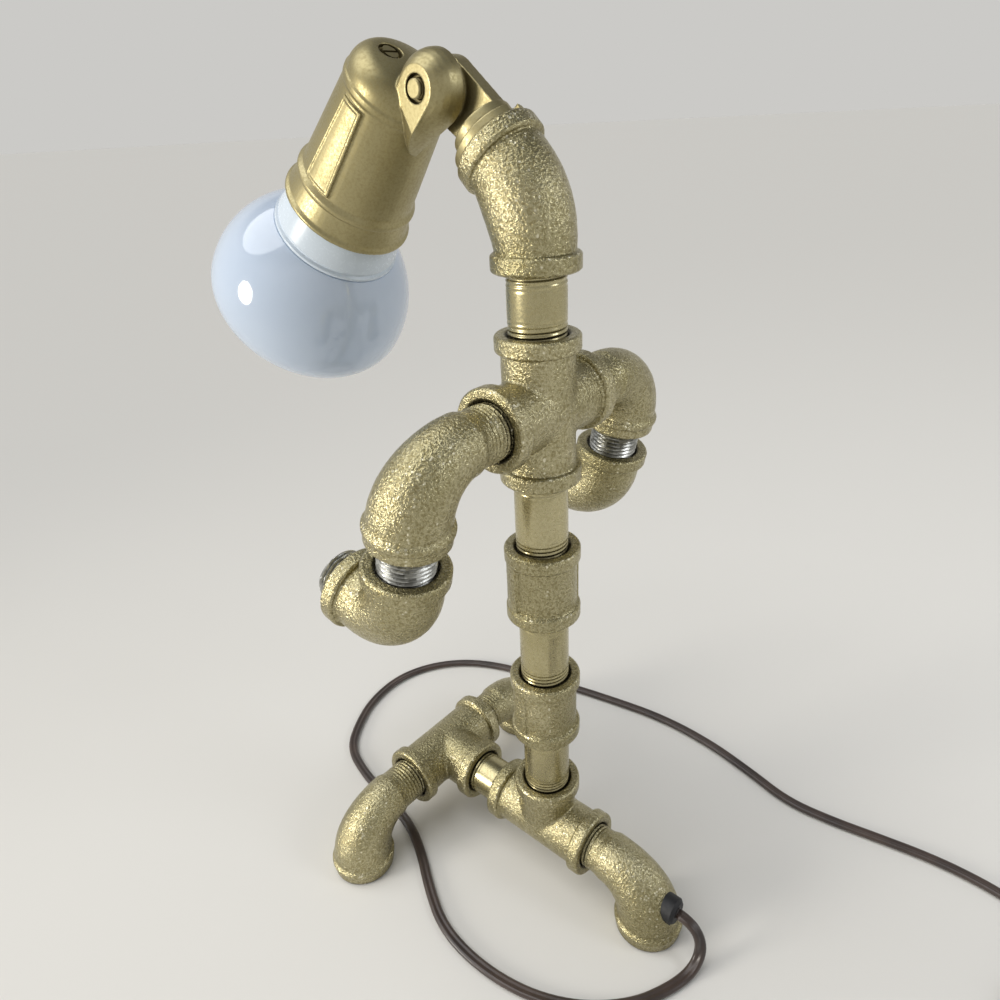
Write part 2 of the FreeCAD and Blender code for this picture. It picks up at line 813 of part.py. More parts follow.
def boss():
    """Ball-shaped boss with its flat facet towards +X and its tail along the body."""
    rise = boss_end - boss_side_end
    facet_radius = math.sqrt(boss_radius ** 2 - rise ** 2)
    wires = [boss_outline(joint_plane, boss_radius, boss_corner, boss_tip, boss_tip_back)]
    for step in range(boss_steps + 1):
        angle = math.asin(rise / boss_radius) * step / boss_steps
        radius = boss_radius * math.cos(angle)
        part = (boss_radius - radius) / (boss_radius - facet_radius)
        wires.append(boss_outline(boss_side_end + boss_radius * math.sin(angle), radius,
                                  boss_corner + (facet_corner - boss_corner) * part,
                                  boss_tip + (facet_tip - boss_tip) * part,
                                  boss_tip_back + (facet_tip_back - boss_tip_back) * part))
    return Part.makeLoft(wires, True, True)


def housing_body():
    """Outside of the turned housing: dome, tapered body, ridge and flared mouth."""
    land_end = shoulder_at + shoulder_land
    corners = [(dome_radius, dome_end), (shoulder_radius, shoulder_at),
               (shoulder_radius, land_end),
               (shoulder_radius - shoulder_step, land_end + shoulder_fall),
               (body_end_radius, body_end), (ridge_radius, ridge_at - ridge_land / 2),
               (ridge_radius, ridge_at + ridge_land / 2),
               (ridge_radius - ridge_edge, ridge_at + ridge_land),
               (rim_radius - rim_edge, rim_at - 2 * rim_edge), (rim_radius, rim_at - rim_edge),
               (rim_radius, rim_at), (0, rim_at), (0, 0)]
    corners = [V(radius, 0, place) for radius, place in corners]
    corner = dome_end - dome_crown
    inset = dome_radius - corner
    crown = (dome_end ** 2 + inset ** 2 - corner ** 2) / (2 * dome_crown)
    lean = math.asin(inset / (crown - corner))
    meet = V(crown * math.sin(lean), 0, crown * (1 - math.cos(lean)))
    on_crown = V(crown * math.sin(lean / 2), 0, crown * (1 - math.cos(lean / 2)))
    aside = (lean + math.pi / 2) / 2
    on_corner = V(inset + corner * math.sin(aside), 0, dome_end - corner * math.cos(aside))
    edges = [Part.Arc(corners[-1], on_crown, meet).toShape(),
             Part.Arc(meet, on_corner, corners[0]).toShape()]
    edges += [Part.LineSegment(first, second).toShape()
              for first, second in zip(corners, corners[1:])]
    return turned_to(Part.Face(Part.Wire(edges)).revolve(V(), Z, 360), head_origin, head_dir)


def plate_layer(height, inset):
    """Strip of the housing's left side, raised by a height and drawn in from the plate's edge."""
    start = shoulder_at + shoulder_land + shoulder_fall
    start_radius = shoulder_radius - shoulder_step
    slope = (body_end_radius - start_radius) / (body_end - start)
    first = plate_start + inset
    last = plate_end - inset
    low = start_radius + (first - start) * slope + height
    high = start_radius + (last - start) * slope + height
    cone = lathe([(0, first), (low, first), (high, last), (0, last)], head_origin, head_dir)
    near = plate_start_width / 2 - inset
    far = plate_end_width / 2 - inset
    corners = [on_head(first, plate_shift - near), on_head(first, plate_shift + near),
               on_head(last, plate_shift + far), on_head(last, plate_shift - far)]
    strip = Part.Face(Part.makePolygon(corners + corners[:1])).extrude(X * (2 * high))
    return cone.common(strip)


def raised_plate():
    """Low plate along the housing's left side, with a sunk panel inside its frame."""
    panel = plate_layer(2 * plate_height, plate_frame)
    panel = panel.cut(plate_layer(plate_height - plate_panel_depth, 0))
    return plate_layer(plate_height, 0).cut(panel)


def lampholder_housing():
    """Die-cast housing with the knuckle's boss at its back and a pocket that clears the ear."""
    shape = housing_body().fuse(raised_plate()).fuse(boss())
    shape = shape.cut(rod(pocket_radius, pivot + X * joint_plane, X * -1, 2 * shoulder_radius))
    shape = shape.fuse(rod(knuckle_ring_radius, pivot + X * housing_ring_end, X,
                           knuckle_ring_height))
    wall = housing_wall
    inner = [(0, ceiling_at), (dome_radius - wall - ceiling_round / 2, ceiling_at),
             (socket_radius + socket_clearance, ceiling_at + ceiling_round),
             (body_end_radius - wall, body_end), (ridge_radius - wall, ridge_at + ridge_land),
             (rim_radius - rim_lip - socket_clearance, rim_at - rim_lip_depth),
             (rim_radius - rim_lip, rim_at), (0, rim_at)]
    pocket_back = rod(pocket_radius + pocket_wall, pivot + X * (joint_plane + pocket_wall), X * -1,
                      2 * shoulder_radius)
    shape = shape.cut(lathe(inner, head_origin, head_dir).cut(pocket_back))
    shape = shape.cut(rod(knuckle_cavity_radius, pivot + X * housing_ring_end, X,
                          boss_cavity_end - housing_ring_end))
    shape = shape.cut(rod(pivot_screw_od / 2 + tapped_clearance, pivot, X, boss_end))
    shape = shape.cut(rod(lead_passage / 2, leads_enter, leads_way, lead_passage_length))
    recess = pivot + X * (boss_end - screw_recess_depth)
    shape = shape.cut(rod(screw_recess_radius, recess, X, 2 * screw_recess_depth))
    screw_line = on_head(0, top_screw_across, top_screw_x)
    shape = shape.cut(rod(top_recess_radius, screw_line, head_dir, top_recess_floor))
    shape = shape.cut(rod(top_screw_radius + tapped_clearance, screw_line, head_dir, top_screw_end))
    return shape.removeSplitter()


def top_screw():
    """Slotted screw in the dome's recess that holds the socket up against the ceiling."""
    place = on_head(top_recess_floor - top_screw_head_height, top_screw_across, top_screw_x)
    cap = rod(top_screw_head_radius, place, head_dir, top_screw_head_height)
    slot = Part.makeBox(4 * top_screw_head_radius, top_slot, top_slot,
                        V(-2 * top_screw_head_radius, -top_slot / 2, 0))
    slot.rotate(V(), Z, top_slot_angle)
    cap = cap.cut(turned_to(slot, place, head_dir))
    seat = on_head(top_recess_floor, top_screw_across, top_screw_x)
    return cap.fuse(rod(top_screw_radius, seat, head_dir, top_screw_end - top_recess_floor))


def socket_insulator():
    """Moulded body of the lamp socket, with a flat for the terminals at its back."""
    bore = shell_inner_radius + shell_thickness + tapped_clearance
    top = dome_radius - housing_wall - ceiling_round / 2 - socket_clearance
    points = [(0, ceiling_at), (top, ceiling_at),
              (socket_radius, ceiling_at + ceiling_round + socket_clearance),
              (socket_radius, socket_end), (bore, socket_end), (bore, socket_floor),
              (0, socket_floor)]
    shape = lathe(points, head_origin, head_dir)
    flat = Part.makeBox(2 * socket_radius, socket_radius, socket_flat_end,
                        V(-socket_radius, -socket_radius / 2, 0))
    flat_place = on_head(0, -socket_flat - socket_radius / 2, 0)
    shape = shape.cut(turned_to(flat, flat_place, head_dir))
    clear = pocket_wall + socket_clearance
    shape = shape.cut(rod(pocket_radius + clear, pivot + X * (joint_plane + clear), X * -1,
                          2 * socket_radius))
    hole = on_head(ceiling_at, top_screw_across, top_screw_x)
    return shape.cut(rod(top_screw_radius + tapped_clearance, hole, head_dir,
                         top_screw_end + socket_clearance - ceiling_at))


def terminal_screws():
    """Two terminal screws on the socket's flat, one for each lead."""
    return Part.makeCompound([
        rod(terminal_radius, on_head(terminal_at, -socket_flat, x), head_front * -1, terminal_height)
        for x in (terminal_near_x, terminal_far_x)])


def socket_shell():
    """Thin brass screw shell inside the socket."""
    return ring(shell_inner_radius + shell_thickness, shell_inner_radius, on_head(shell_start, 0),
                head_dir, socket_end - shell_recess - shell_start)


def centre_contact():
    """Springy brass tongue that meets the bulb's tip, on the socket's floor."""
    return rod(contact_radius, on_head(socket_floor, 0), head_dir,
               cap_start - tip_length - contact_gap - socket_floor)


def mouth_gasket():
    """Soft ring in the mouth, just clear of the bulb's neck."""
    outer = rim_radius - rim_lip - socket_clearance - gasket_seat
    slope = (collar_mouth_radius - collar_swell_radius) / (rim_at - collar_swell_at)
    end = gasket_start + gasket_height
    inner = collar_swell_radius + (end - collar_swell_at) * slope + gasket_gap
    return ring(outer, inner, on_head(gasket_start, 0), head_dir, gasket_height)


def bulb_cap():
    """Threaded brass cap of the bulb."""
    points = [(cap_hole_radius, cap_start), (cap_root_radius - cap_cone, cap_start),
              (cap_root_radius, cap_start + cap_cone_height)]
    first = cap_start + cap_cone_height
    for turn in range(cap_turns):
        foot = first + turn * cap_pitch
        points += [(cap_root_radius, foot), (cap_radius, foot + (1 - cap_crest) / 2 * cap_pitch),
                   (cap_radius, foot + (1 + cap_crest) / 2 * cap_pitch)]
    inside = cap_root_radius - cap_wall
    points = points[:2] + points[3:] + [
        (cap_root_radius, first + cap_turns * cap_pitch), (cap_root_radius, cap_end),
        (inside, cap_end), (inside, first + cap_wall), (inside - cap_cone, cap_start + cap_wall),
        (cap_hole_radius, cap_start + cap_wall)]
    return lathe(points, head_origin, head_dir)


def bulb_insulator():
    """Black glass ring that carries the tip contact in the cap's end."""
    hole = cap_hole_radius - tapped_clearance
    shelf = cap_start + cap_wall + tapped_clearance
    points = [(0, cap_start - insulator_rise), (tip_radius, cap_start - insulator_rise),
              (hole, cap_start), (hole, shelf), (insulator_radius, shelf),
              (insulator_radius, shelf + cap_wall), (0, shelf + cap_wall)]
    return lathe(points, head_origin, head_dir)


def bulb_contact():
    """Soldered tip of the bulb."""
    tip = cap_start - tip_length
    base = cap_start - insulator_rise
    points = [(0, tip), (tip_radius / 2, tip), (tip_radius, base), (0, base)]
    return lathe(points, head_origin, head_dir)


def bulb_collar():
    """Hollow white neck of the bulb, from the cap to the globe."""
    outer = [(collar_root_radius, cap_end), (collar_root_radius, collar_root_end),
             (collar_swell_radius, collar_swell_at), (collar_mouth_radius, rim_at),
             (collar_end_radius, collar_end - collar_edge), (collar_end_radius - collar_edge, collar_end)]
    inner = [(collar_end_radius - collar_edge - collar_wall, collar_end),
             (collar_mouth_radius - collar_wall, rim_at),
             (collar_swell_radius - collar_wall, collar_swell_at + collar_wall),
             (collar_root_radius - collar_wall, collar_root_end + collar_wall),
             (collar_root_radius - collar_wall, cap_end)]
    return lathe(outer + inner, head_origin, head_dir)


def globe_curve(shrink):
    """Profile of the globe from its neck edge to its front, with its two end points."""
    widest = globe_radius - shrink
    back = globe_back_reach - shrink
    front = globe_front - globe_widest - shrink
    neck = collar_end + globe_seat
    start_angle = -math.asin((globe_widest - neck) / back)
    points = []
    for step in range(globe_steps):
        angle = start_angle * (1 - step / globe_steps)
        points.append(V(widest * math.cos(angle), 0, globe_widest + back * math.sin(angle)))
    for step in range(globe_steps):
        angle = math.pi / 2 * step / globe_steps
        points.append(V(widest * math.cos(angle), 0, globe_widest + front * math.sin(angle)))
    points.append(V(0, 0, globe_widest + front))
    curve = Part.BSplineCurve()
    curve.interpolate(points)
    return curve.toShape(), points[0], points[-1]


def bulb_globe():
    """Milky globe of the bulb, open at the neck."""
    outer, outer_neck, outer_front = globe_curve(0)
    inner, inner_neck, inner_front = globe_curve(globe_wall)
    edges = [outer, Part.LineSegment(outer_front, inner_front).toShape(), inner,
             Part.LineSegment(inner_neck, outer_neck).toShape()]
    profile = Part.Face(Part.Wire(Part.sortEdges(edges)[0]))
    return turned_to(profile.revolve(V(), Z, 360), head_origin, head_dir)


def led_board():
    """Round light board that closes the collar behind the globe."""
    slope = (collar_end_radius - collar_edge - collar_mouth_radius) / (collar_end - rim_at)
    back = collar_end_radius - collar_edge - collar_wall - slope * board_thickness
    return rod(back - board_clearance, on_head(collar_end - board_thickness, 0), head_dir,
               board_thickness)


def head_nodes():
    return {
        "swivel_arm": swivel_arm(), "arm_locknut": arm_locknut(), "pivot_screw": pivot_screw(),
        "lock_washer": lock_washer(), "lampholder_housing": lampholder_housing(),
        "top_screw": top_screw(), "socket_insulator": socket_insulator(),
        "terminal_screws": terminal_screws(), "socket_shell": socket_shell(),
        "centre_contact": centre_contact(), "mouth_gasket": mouth_gasket(),
        "bulb_cap": bulb_cap(), "bulb_insulator": bulb_insulator(),
        "bulb_contact": bulb_contact(), "bulb_collar": bulb_collar(),
        "bulb_globe": bulb_globe(), "led_board": led_board(),
    }


def grommet():
    """Rubber grommet in the rear foot: a bush through the wall and a flange against its back."""
    centre = V(0, rear_foot_y, run_height)
    foot = placed_street(street_outside()[0], centre, Z * -1, Y * -1)
    seat = V(0, rear_foot_y + grommet_inner, grommet_height)
    reach = grommet_face - grommet_inner
    bush = rod(grommet_hole / 2 - tapped_clearance, seat, Y, reach)
    flange = lathe([(0, 0), (grommet_flange / 2, 0), (grommet_flange / 2, reach - grommet_round),
                    (grommet_flange / 2 - grommet_round, reach), (0, reach)], seat, Y)
    shape = bush.fuse(flange.cut(foot))
    return shape.cut(rod(cord_radius + cord_hole_clearance, seat, Y, reach))


def inner_cord():
    """The cord inside the iron, from the grommet up to the splices in the cross."""
    waist = upper_coupling_base + coupling_length
    return tube([
        cord_points[0], V(0, rear_foot_y + 3, grommet_height),
        V(0, rear_foot_y - 10, run_height - 3.8), V(0, face_distance + 7.6, run_height - 2.0),
        V(0, face_distance - 7.4, run_height - 3.4), V(0, -2, run_height + 10.1),
        V(0, -4.4, base_top + 5.2), V(0.6, -2.2, lower_coupling_base + 9.6),
        V(0, 2.4, upper_coupling_base - 12.6), V(-0.5, 1.2, waist),
        V(0, 0, splice_base - 20), V(0, 0, splice_base)], cord_radius, "inner_cord")


def leads():
    """Two leads from the splices through neck and arm, and on to the socket's terminals."""
    ear = pivot + X * arm_middle_x
    way = (ear - on_arm(arm_base_bottom + lead_channel / 2, 0, arm_middle_x)).normalize()
    over = X.cross(way)
    lead_ring = (knuckle_cavity_radius + pivot_screw_od / 2) / 2
    meet_x = (housing_ring_end + arm_ring_start) / 2
    half = lead_spacing / 2
    bore_x = arm_middle_x / 2
    beside = -socket_flat - lead_radius - tapped_clearance
    first_x = lead_first_x
    neck_side = []
    head_side = []
    for side, x, terminal_x in ((1, first_x, terminal_near_x),
                                (-1, first_x + lead_spacing, terminal_far_x)):
        meet = V(meet_x, pivot.y, pivot.z) - way * lead_ring + over * (side * half)
        splice_x = side * (splice_radius + splice_gap / 2)
        splice_top = splice_base + splice_length
        neck_side.append(tube([
            V(splice_x, 0, splice_top), V(splice_x, 0, splice_top + 8),
            V(side * 2.0, 0.8, splice_top + 22), V(side * 1.6, 0.4, neck_centre - 24),
            V(side * 1.3, -3.4, neck_centre - 1), on_arm(-6, -side * half, side * 0.9 - 1.4),
            on_arm(1.6, -side * half, side * 0.2 + bore_x),
            on_arm(arm_base_top - 1.8, -side * half, arm_middle_x + lead_pocket_inset / 2),
            ear - way * 10 + over * (side * half),
            ear - way * lead_ring + over * (side * half) + X * 0.6, meet],
            lead_radius, "neck_lead"))
        head_side.append(tube([
            meet, meet + X * (x - meet_x), on_head(3.2 - housing_drop, -housing_offset - 4.2, x),
            on_head(lead_turn_at, -housing_offset + lead_turn_in, x),
            on_head(lead_drop_at, beside, x + (terminal_x - x) / 4),
            on_head(terminal_at - terminal_radius - 1.4, beside, terminal_x),
            on_head(terminal_at - terminal_radius, beside, terminal_x)], lead_radius, "socket_lead"))
    return {"neck_leads": Part.makeCompound(neck_side), "socket_leads": Part.makeCompound(head_side)}


def splices():
    """Two crimp splices that join the cord to the leads inside the cross."""
    return Part.makeCompound([
        rod(splice_radius, V(side * (splice_radius + splice_gap / 2), 0, splice_base), Z,
            splice_length) for side in (-1, 1)])


def on_switch(shape):
    """Moves a shape built along +X from the switch's entry to its place on the cord."""
    shape.rotate(V(), Z, math.degrees(math.atan2(switch_dir.y, switch_dir.x)))
    shape.translate(V(switch_entry.x, switch_entry.y, 0))
    return shape


def switch_block(low, high, inset):
    """Rounded block of the switch's plan between two heights."""
    width = switch_width - 2 * inset
    block = Part.makeBox(switch_length - 2 * inset, width, high - low,
                         V(inset, -width / 2, low))
    upright = [edge for edge in block.Edges if abs(edge.tangentAt(edge.FirstParameter).z) > 0.9]
    return block.makeFillet(switch_corner - inset, upright)


def switch_rocker():
    """Dished rocker on its pin, tipped to one side."""
    middle = V(switch_length / 2, 0, rocker_axis_height)
    half = rocker_length / 2
    profile = [V(-half, 0, -rocker_below), V(half, 0, -rocker_below), V(half, 0, rocker_rise),
               V(0, 0, rocker_rise - rocker_dip), V(-half, 0, rocker_rise)]
    rocker = Part.Face(Part.makePolygon(profile + profile[:1])).extrude(Y * rocker_width)
    rocker.translate(middle - Y * (rocker_width / 2))
    reach = rocker_width + 2 * rocker_pin_reach
    rocker = rocker.fuse(rod(rocker_pin_radius, middle - Y * (reach / 2), Y, reach))
    rocker.rotate(middle, Y, rocker_rest_angle)
    return rocker


def switch_shells():
    """Base and cover of the switch, with posts for the screws and lugs for the rocker's pin."""
    wall = switch_wall
    inside_top = switch_height - wall
    base = switch_block(0, switch_split, 0).cut(switch_block(wall, switch_split + wall, wall))
    cover = switch_block(switch_split, switch_height, 0)
    cover = cover.cut(switch_block(switch_split - wall, inside_top, wall))
    places = [V(switch_length / 2 - side * switch_screw_x, side * switch_screw_y, 0)
              for side in (-1, 1)]
    for place in places:
        split = place + Z * switch_split
        base = base.fuse(rod(switch_post_radius, place, Z, switch_split))
        base = base.cut(rod(switch_screw_radius + screw_clearance, place, Z, switch_split))
        base = base.cut(rod(switch_screw_head_radius + screw_clearance, place, Z,
                            switch_screw_head_height + switch_screw_recess))
        cover = cover.fuse(rod(switch_post_radius, split, Z, switch_height - switch_split))
        cover = cover.cut(rod(switch_screw_radius + tapped_clearance, split, Z, switch_screw_bite))
    opening_x = rocker_length + 2 * rocker_end_clearance
    opening_y = rocker_width + 2 * rocker_side_clearance
    cover = cover.cut(Part.makeBox(opening_x, opening_y, 2 * wall,
                                   V((switch_length - opening_x) / 2, -opening_y / 2, inside_top)))
    lug_foot = rocker_axis_height - 2 * rocker_pin_radius
    for side in (-1, 1):
        lug_y = side * (opening_y + rocker_lug_thickness) / 2 - rocker_lug_thickness / 2
        cover = cover.fuse(Part.makeBox(rocker_lug_width, rocker_lug_thickness, inside_top - lug_foot,
                                        V((switch_length - rocker_lug_width) / 2, lug_y, lug_foot)))
    pin_reach = opening_y + 2 * rocker_lug_thickness
    cover = cover.cut(rod(rocker_pin_radius + rocker_pin_clearance,
                          V(switch_length / 2, -pin_reach / 2, rocker_axis_height), Y, pin_reach))
    cord_way = rod(cord_radius + cord_hole_clearance, V(0, 0, switch_entry.z), X, switch_length)
    head_foot = switch_screw_recess
    shank_foot = head_foot + switch_screw_head_height
    shank = switch_split + switch_screw_bite - shank_foot - screw_clearance
    screws = [rod(switch_screw_radius, place + Z * shank_foot, Z, shank).fuse(
        rod(switch_screw_head_radius, place + Z * head_foot, Z, switch_screw_head_height))
        for place in places]
    return base.cut(cord_way), cover.cut(cord_way), Part.makeCompound(screws)


def switch_nodes():
    """In-line rocker switch on the cord, with its contacts and the cord inside it."""
    base, cover, screws = switch_shells()
    contacts = [Part.makeBox(switch_contact_length, switch_contact_width, switch_contact_height,
                             V(switch_length / 2 + side * switch_contact_x - switch_contact_length / 2,
                               switch_contact_y - switch_contact_width / 2, switch_wall))
                for side in (-1, 1)]
    inside = rod(cord_radius, V(0, 0, switch_entry.z), X, switch_length)
    shapes = {"switch_base": base, "switch_cover": cover, "switch_screws": screws,
              "switch_rocker": switch_rocker(), "switch_contacts": Part.makeCompound(contacts),
              "switch_cord": inside}
    return {name: on_switch(shape) for name, shape in shapes.items()}


def plug_nodes():
    """Two-blade plug lying on the floor, with its ribbed strain relief."""
    side = V(-plug_dir.y, plug_dir.x, 0)

    def frame(distance, wide, high):
        middle = plug_entry + plug_dir * distance
        corners = [middle + side * (wide / 2 * a) + Z * (high / 2 * b)
                   for a, b in ((-1, -1), (1, -1), (1, 1), (-1, 1))]
        return Part.makePolygon(corners + corners[:1])

    bore = cord_radius + cord_hole_clearance
    relief = [(bore, 0), (plug_relief_radius, 0)]
    for rib in range(plug_relief_ribs):
        radius = plug_relief_radius + rib * plug_relief_growth
        foot = (rib + 0.3) * plug_relief_length / plug_relief_ribs
        relief += [(radius, foot), (radius, foot + plug_rib_width),
                   (radius - plug_rib_depth, foot + plug_rib_width + plug_relief_growth)]
    relief += [(radius, plug_relief_length), (bore, plug_relief_length)]
    body_end_at = plug_relief_length + plug_length
    body = Part.makeLoft([frame(plug_relief_length, plug_neck_width, plug_neck_thick),
                          frame(plug_relief_length + plug_neck_length, plug_width, plug_thick),
                          frame(body_end_at, plug_width, plug_thick)], True, True)
    blades = []
    for offset in (-blade_spacing / 2, blade_spacing / 2):
        blade = Part.makeBox(blade_thick, blade_height, blade_length + blade_root,
                             V(-blade_thick / 2, -blade_height / 2, 0))
        start = plug_entry + plug_dir * (body_end_at - blade_root) + side * offset
        blade.Placement = FreeCAD.Placement(start, FreeCAD.Rotation(side, Z, plug_dir, "ZXY"))
        blades.append(blade)
    both = Part.makeCompound(blades)
    return {"plug_body": body.cut(both), "plug_blades": both,
            "plug_relief": lathe(relief, plug_entry, plug_dir),
            "plug_cord": rod(cord_radius, plug_entry, plug_dir, plug_relief_length)}


def coil_end(azimuth, height):
    """Where a turn touches the coil's outside at an azimuth, and the way the cord runs there."""
    angle = math.radians(azimuth)
    away = V(math.cos(angle), math.sin(angle), 0)
    place = coil_centre + away * coil_turn_radius
    return V(place.x, place.y, height), V(away.y, -away.x, 0)


def cord_coil(enter, enter_way, leave, leave_way):
    """Outer shape of the tied coil, with the stretches where the cord runs in and out."""
    edge = coil_round
    points = [(coil_inner_radius, edge), (coil_inner_radius + edge, 0), (coil_outer_radius - edge, 0),
              (coil_outer_radius, edge), (coil_outer_radius, coil_height - edge),
              (coil_outer_radius - edge, coil_height), (coil_inner_radius + edge, coil_height),
              (coil_inner_radius, coil_height - edge)]
    shape = lathe(points, coil_centre, Z)
    shape = shape.fuse(rod(cord_radius, enter, enter_way, coil_stub))
    return shape.fuse(rod(cord_radius, leave, leave_way * -1, coil_stub)).removeSplitter()


def coil_tie():
    """Strap round the coil's turns."""
    inner = coil_inner_radius - tie_clearance
    outer = coil_outer_radius + tie_clearance
    start = math.sqrt(inner ** 2 - (tie_width / 2) ** 2) - tie_thickness
    tall = coil_height + 2 * tie_clearance
    strap = Part.makeBox(outer + tie_thickness - start, tie_width, tall + 2 * tie_thickness,
                         V(start, -tie_width / 2, -tie_clearance - tie_thickness))
    strap = strap.cut(ring(outer, inner, V(0, 0, -tie_clearance), Z, tall))
    strap.rotate(V(), Z, tie_azimuth)
    strap.translate(coil_centre)
    return strap


def cord_nodes():
    """The free cord: the run to the switch, the lead to the coil, the coil and the tail."""
    enter, enter_way = coil_end(coil_in_azimuth, coil_lift + cord_radius)
    leave, leave_way = coil_end(coil_out_azimuth, coil_lift + coil_height - cord_radius)
    enter = enter - enter_way * coil_stub
    leave = leave + leave_way * coil_stub
    lead = [switch_exit, switch_exit + switch_dir * 7, enter - enter_way * 7, enter]
    tail = [leave, leave + leave_way * 9, plug_entry - plug_dir * 9, plug_entry]
    return {"cord_run": tube(cord_points, cord_radius, "cord_run"),
            "cord_lead": tube(lead, cord_radius, "cord_lead"),
            "cord_tail": tube(tail, cord_radius, "cord_tail"),
            "cord_coil": cord_coil(enter, enter_way, leave, leave_way),
            "coil_tie": coil_tie()}


nodes = feet_and_column()
nodes["neck_elbow"] = angle_elbow(V(0, 0, neck_centre), Z * -1, arm_dir)
nodes.update(arms())
nodes.update(head_nodes())
nodes["cord_grommet"] = grommet()
nodes["inner_cord"] = inner_cord()
nodes["splices"] = splices()
nodes.update(leads())
nodes.update(switch_nodes())
nodes.update(plug_nodes())
nodes.update(cord_nodes())

# the origin goes under the middle of the figure, without its cord
box = FreeCAD.BoundBox()
for name, shape in nodes.items():
    if name not in cord_names:
        box.add(shape.optimalBoundingBox(False, False))
shift = Y * (-(box.YMin + box.YMax) / 2)
print("figure", [round(value, 2) for value in (box.XMin, box.XMax, box.YMin, box.YMax, box.ZMax)])
for label, point in (("neck", V(0, 0, neck_base)), ("pivot", pivot), ("head origin", head_origin),
                     ("shoulder", V(shoulder_x, 0, cross_centre)),
                     ("rear foot", V(0, rear_foot_y, 0)),
                     ("left foot", V(front_foot_x, front_tee_y, 0)),
                     ("switch", switch_entry), ("coil", coil_centre), ("plug", plug_entry)):
    print(label, [round(value, 4) for value in point + shift])

os.makedirs("parts", exist_ok=True)
for name, shape in nodes.items():
    placed = shape.copy()
    placed.translate(shift)
    if not placed.isValid():
        print("not valid:", name)
    placed.exportStep(os.path.join("parts", name + ".step"))
print(len(nodes), "nodes")
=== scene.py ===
import json
import math
import bpy
import bmesh
import numpy as np
from mathutils import Matrix, Vector, noise

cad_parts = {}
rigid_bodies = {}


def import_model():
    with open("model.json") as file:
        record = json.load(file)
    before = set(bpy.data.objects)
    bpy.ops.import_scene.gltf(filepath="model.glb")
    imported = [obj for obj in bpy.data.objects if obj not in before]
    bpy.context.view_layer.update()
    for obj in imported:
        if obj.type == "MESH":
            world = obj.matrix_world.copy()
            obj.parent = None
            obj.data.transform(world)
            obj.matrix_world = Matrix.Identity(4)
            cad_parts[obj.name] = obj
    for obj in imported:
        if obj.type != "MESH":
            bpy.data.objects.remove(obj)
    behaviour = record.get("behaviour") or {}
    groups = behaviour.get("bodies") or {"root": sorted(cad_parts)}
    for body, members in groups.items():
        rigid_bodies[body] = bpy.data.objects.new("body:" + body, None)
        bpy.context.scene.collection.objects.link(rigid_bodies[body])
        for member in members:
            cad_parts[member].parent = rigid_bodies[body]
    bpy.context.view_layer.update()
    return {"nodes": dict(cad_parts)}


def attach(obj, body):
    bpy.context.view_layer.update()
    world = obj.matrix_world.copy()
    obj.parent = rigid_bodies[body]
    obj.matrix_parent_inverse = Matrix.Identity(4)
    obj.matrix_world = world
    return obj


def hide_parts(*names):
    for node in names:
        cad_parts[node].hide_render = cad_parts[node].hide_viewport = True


# a new file's own cube, lamp and camera go first
for leftover in list(bpy.data.objects):
    bpy.data.objects.remove(leftover)
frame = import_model()
nodes = frame["nodes"]
scene = bpy.context.scene
mm = 0.001
columnY = 47.0202  # the column's axis in the frame; places below are in millimetres from its foot
print("frame loaded", len(nodes), "nodes")


def inMm(point):
    return Vector((point[0] * mm, (point[1] + columnY) * mm, point[2] * mm))


def linear(hexColor):
    channels = [int(hexColor[i:i + 2], 16) / 255 for i in (1, 3, 5)]
    return tuple(c / 12.92 if c <= 0.04045 else ((c + 0.055) / 1.055) ** 2.4 for c in channels) + (1.0,)


def link(piece):
    scene.collection.objects.link(piece)
    return piece


def meshPiece(name, points, faces):
    mesh = bpy.data.meshes.new(name)
    mesh.from_pydata([tuple(p) for p in points], [], faces)
    mesh.validate()
    mesh.update()
    return link(bpy.data.objects.new(name, mesh))


def smoothShade(piece, degrees):
    # smooth faces, with a crisp edge wherever they meet at more than this
    piece.data.shade_smooth()
    piece.data.set_sharp_from_angle(angle=math.radians(degrees))
    return piece


def baked(piece):
    # applies the piece's modifiers to its mesh
    bpy.context.view_layer.update()
    graph = bpy.context.evaluated_depsgraph_get()
    mesh = bpy.data.meshes.new_from_object(piece.evaluated_get(graph), depsgraph=graph)
    piece.modifiers.clear()
    piece.data = mesh
    return piece


def coords(mesh):
    co = np.empty(len(mesh.vertices) * 3, np.float32)
    mesh.vertices.foreach_get("co", co)
    return co.reshape(-1, 3)


def ringPoints(start, direction, rings, around):
    # points of rings about a line; each ring is (its radius at each step, or one radius; place along)
    turnTo = Vector(direction).normalized().to_track_quat("Z", "Y").to_matrix()
    base = inMm(start)
    points = []
    for radii, place in rings:
        for step in range(around):
            angle = 2 * math.pi * step / around
            radius = radii[step] if isinstance(radii, list) else radii
            points.append(base + turnTo @ Vector((radius * mm * math.cos(angle),
                                                  radius * mm * math.sin(angle), place * mm)))
    return points


def ringFaces(rows, around):
    # faces that join each ring to the next, and the last one to the first
    faces = []
    for row in range(rows):
        low, high = row * around, ((row + 1) % rows) * around
        for step in range(around):
            after = (step + 1) % around
            faces.append((low + step, low + after, high + after, high + step))
    return faces


def rideAs(piece, slot, body, *replaced):
    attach(piece, body)
    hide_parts(*replaced)
    return piece


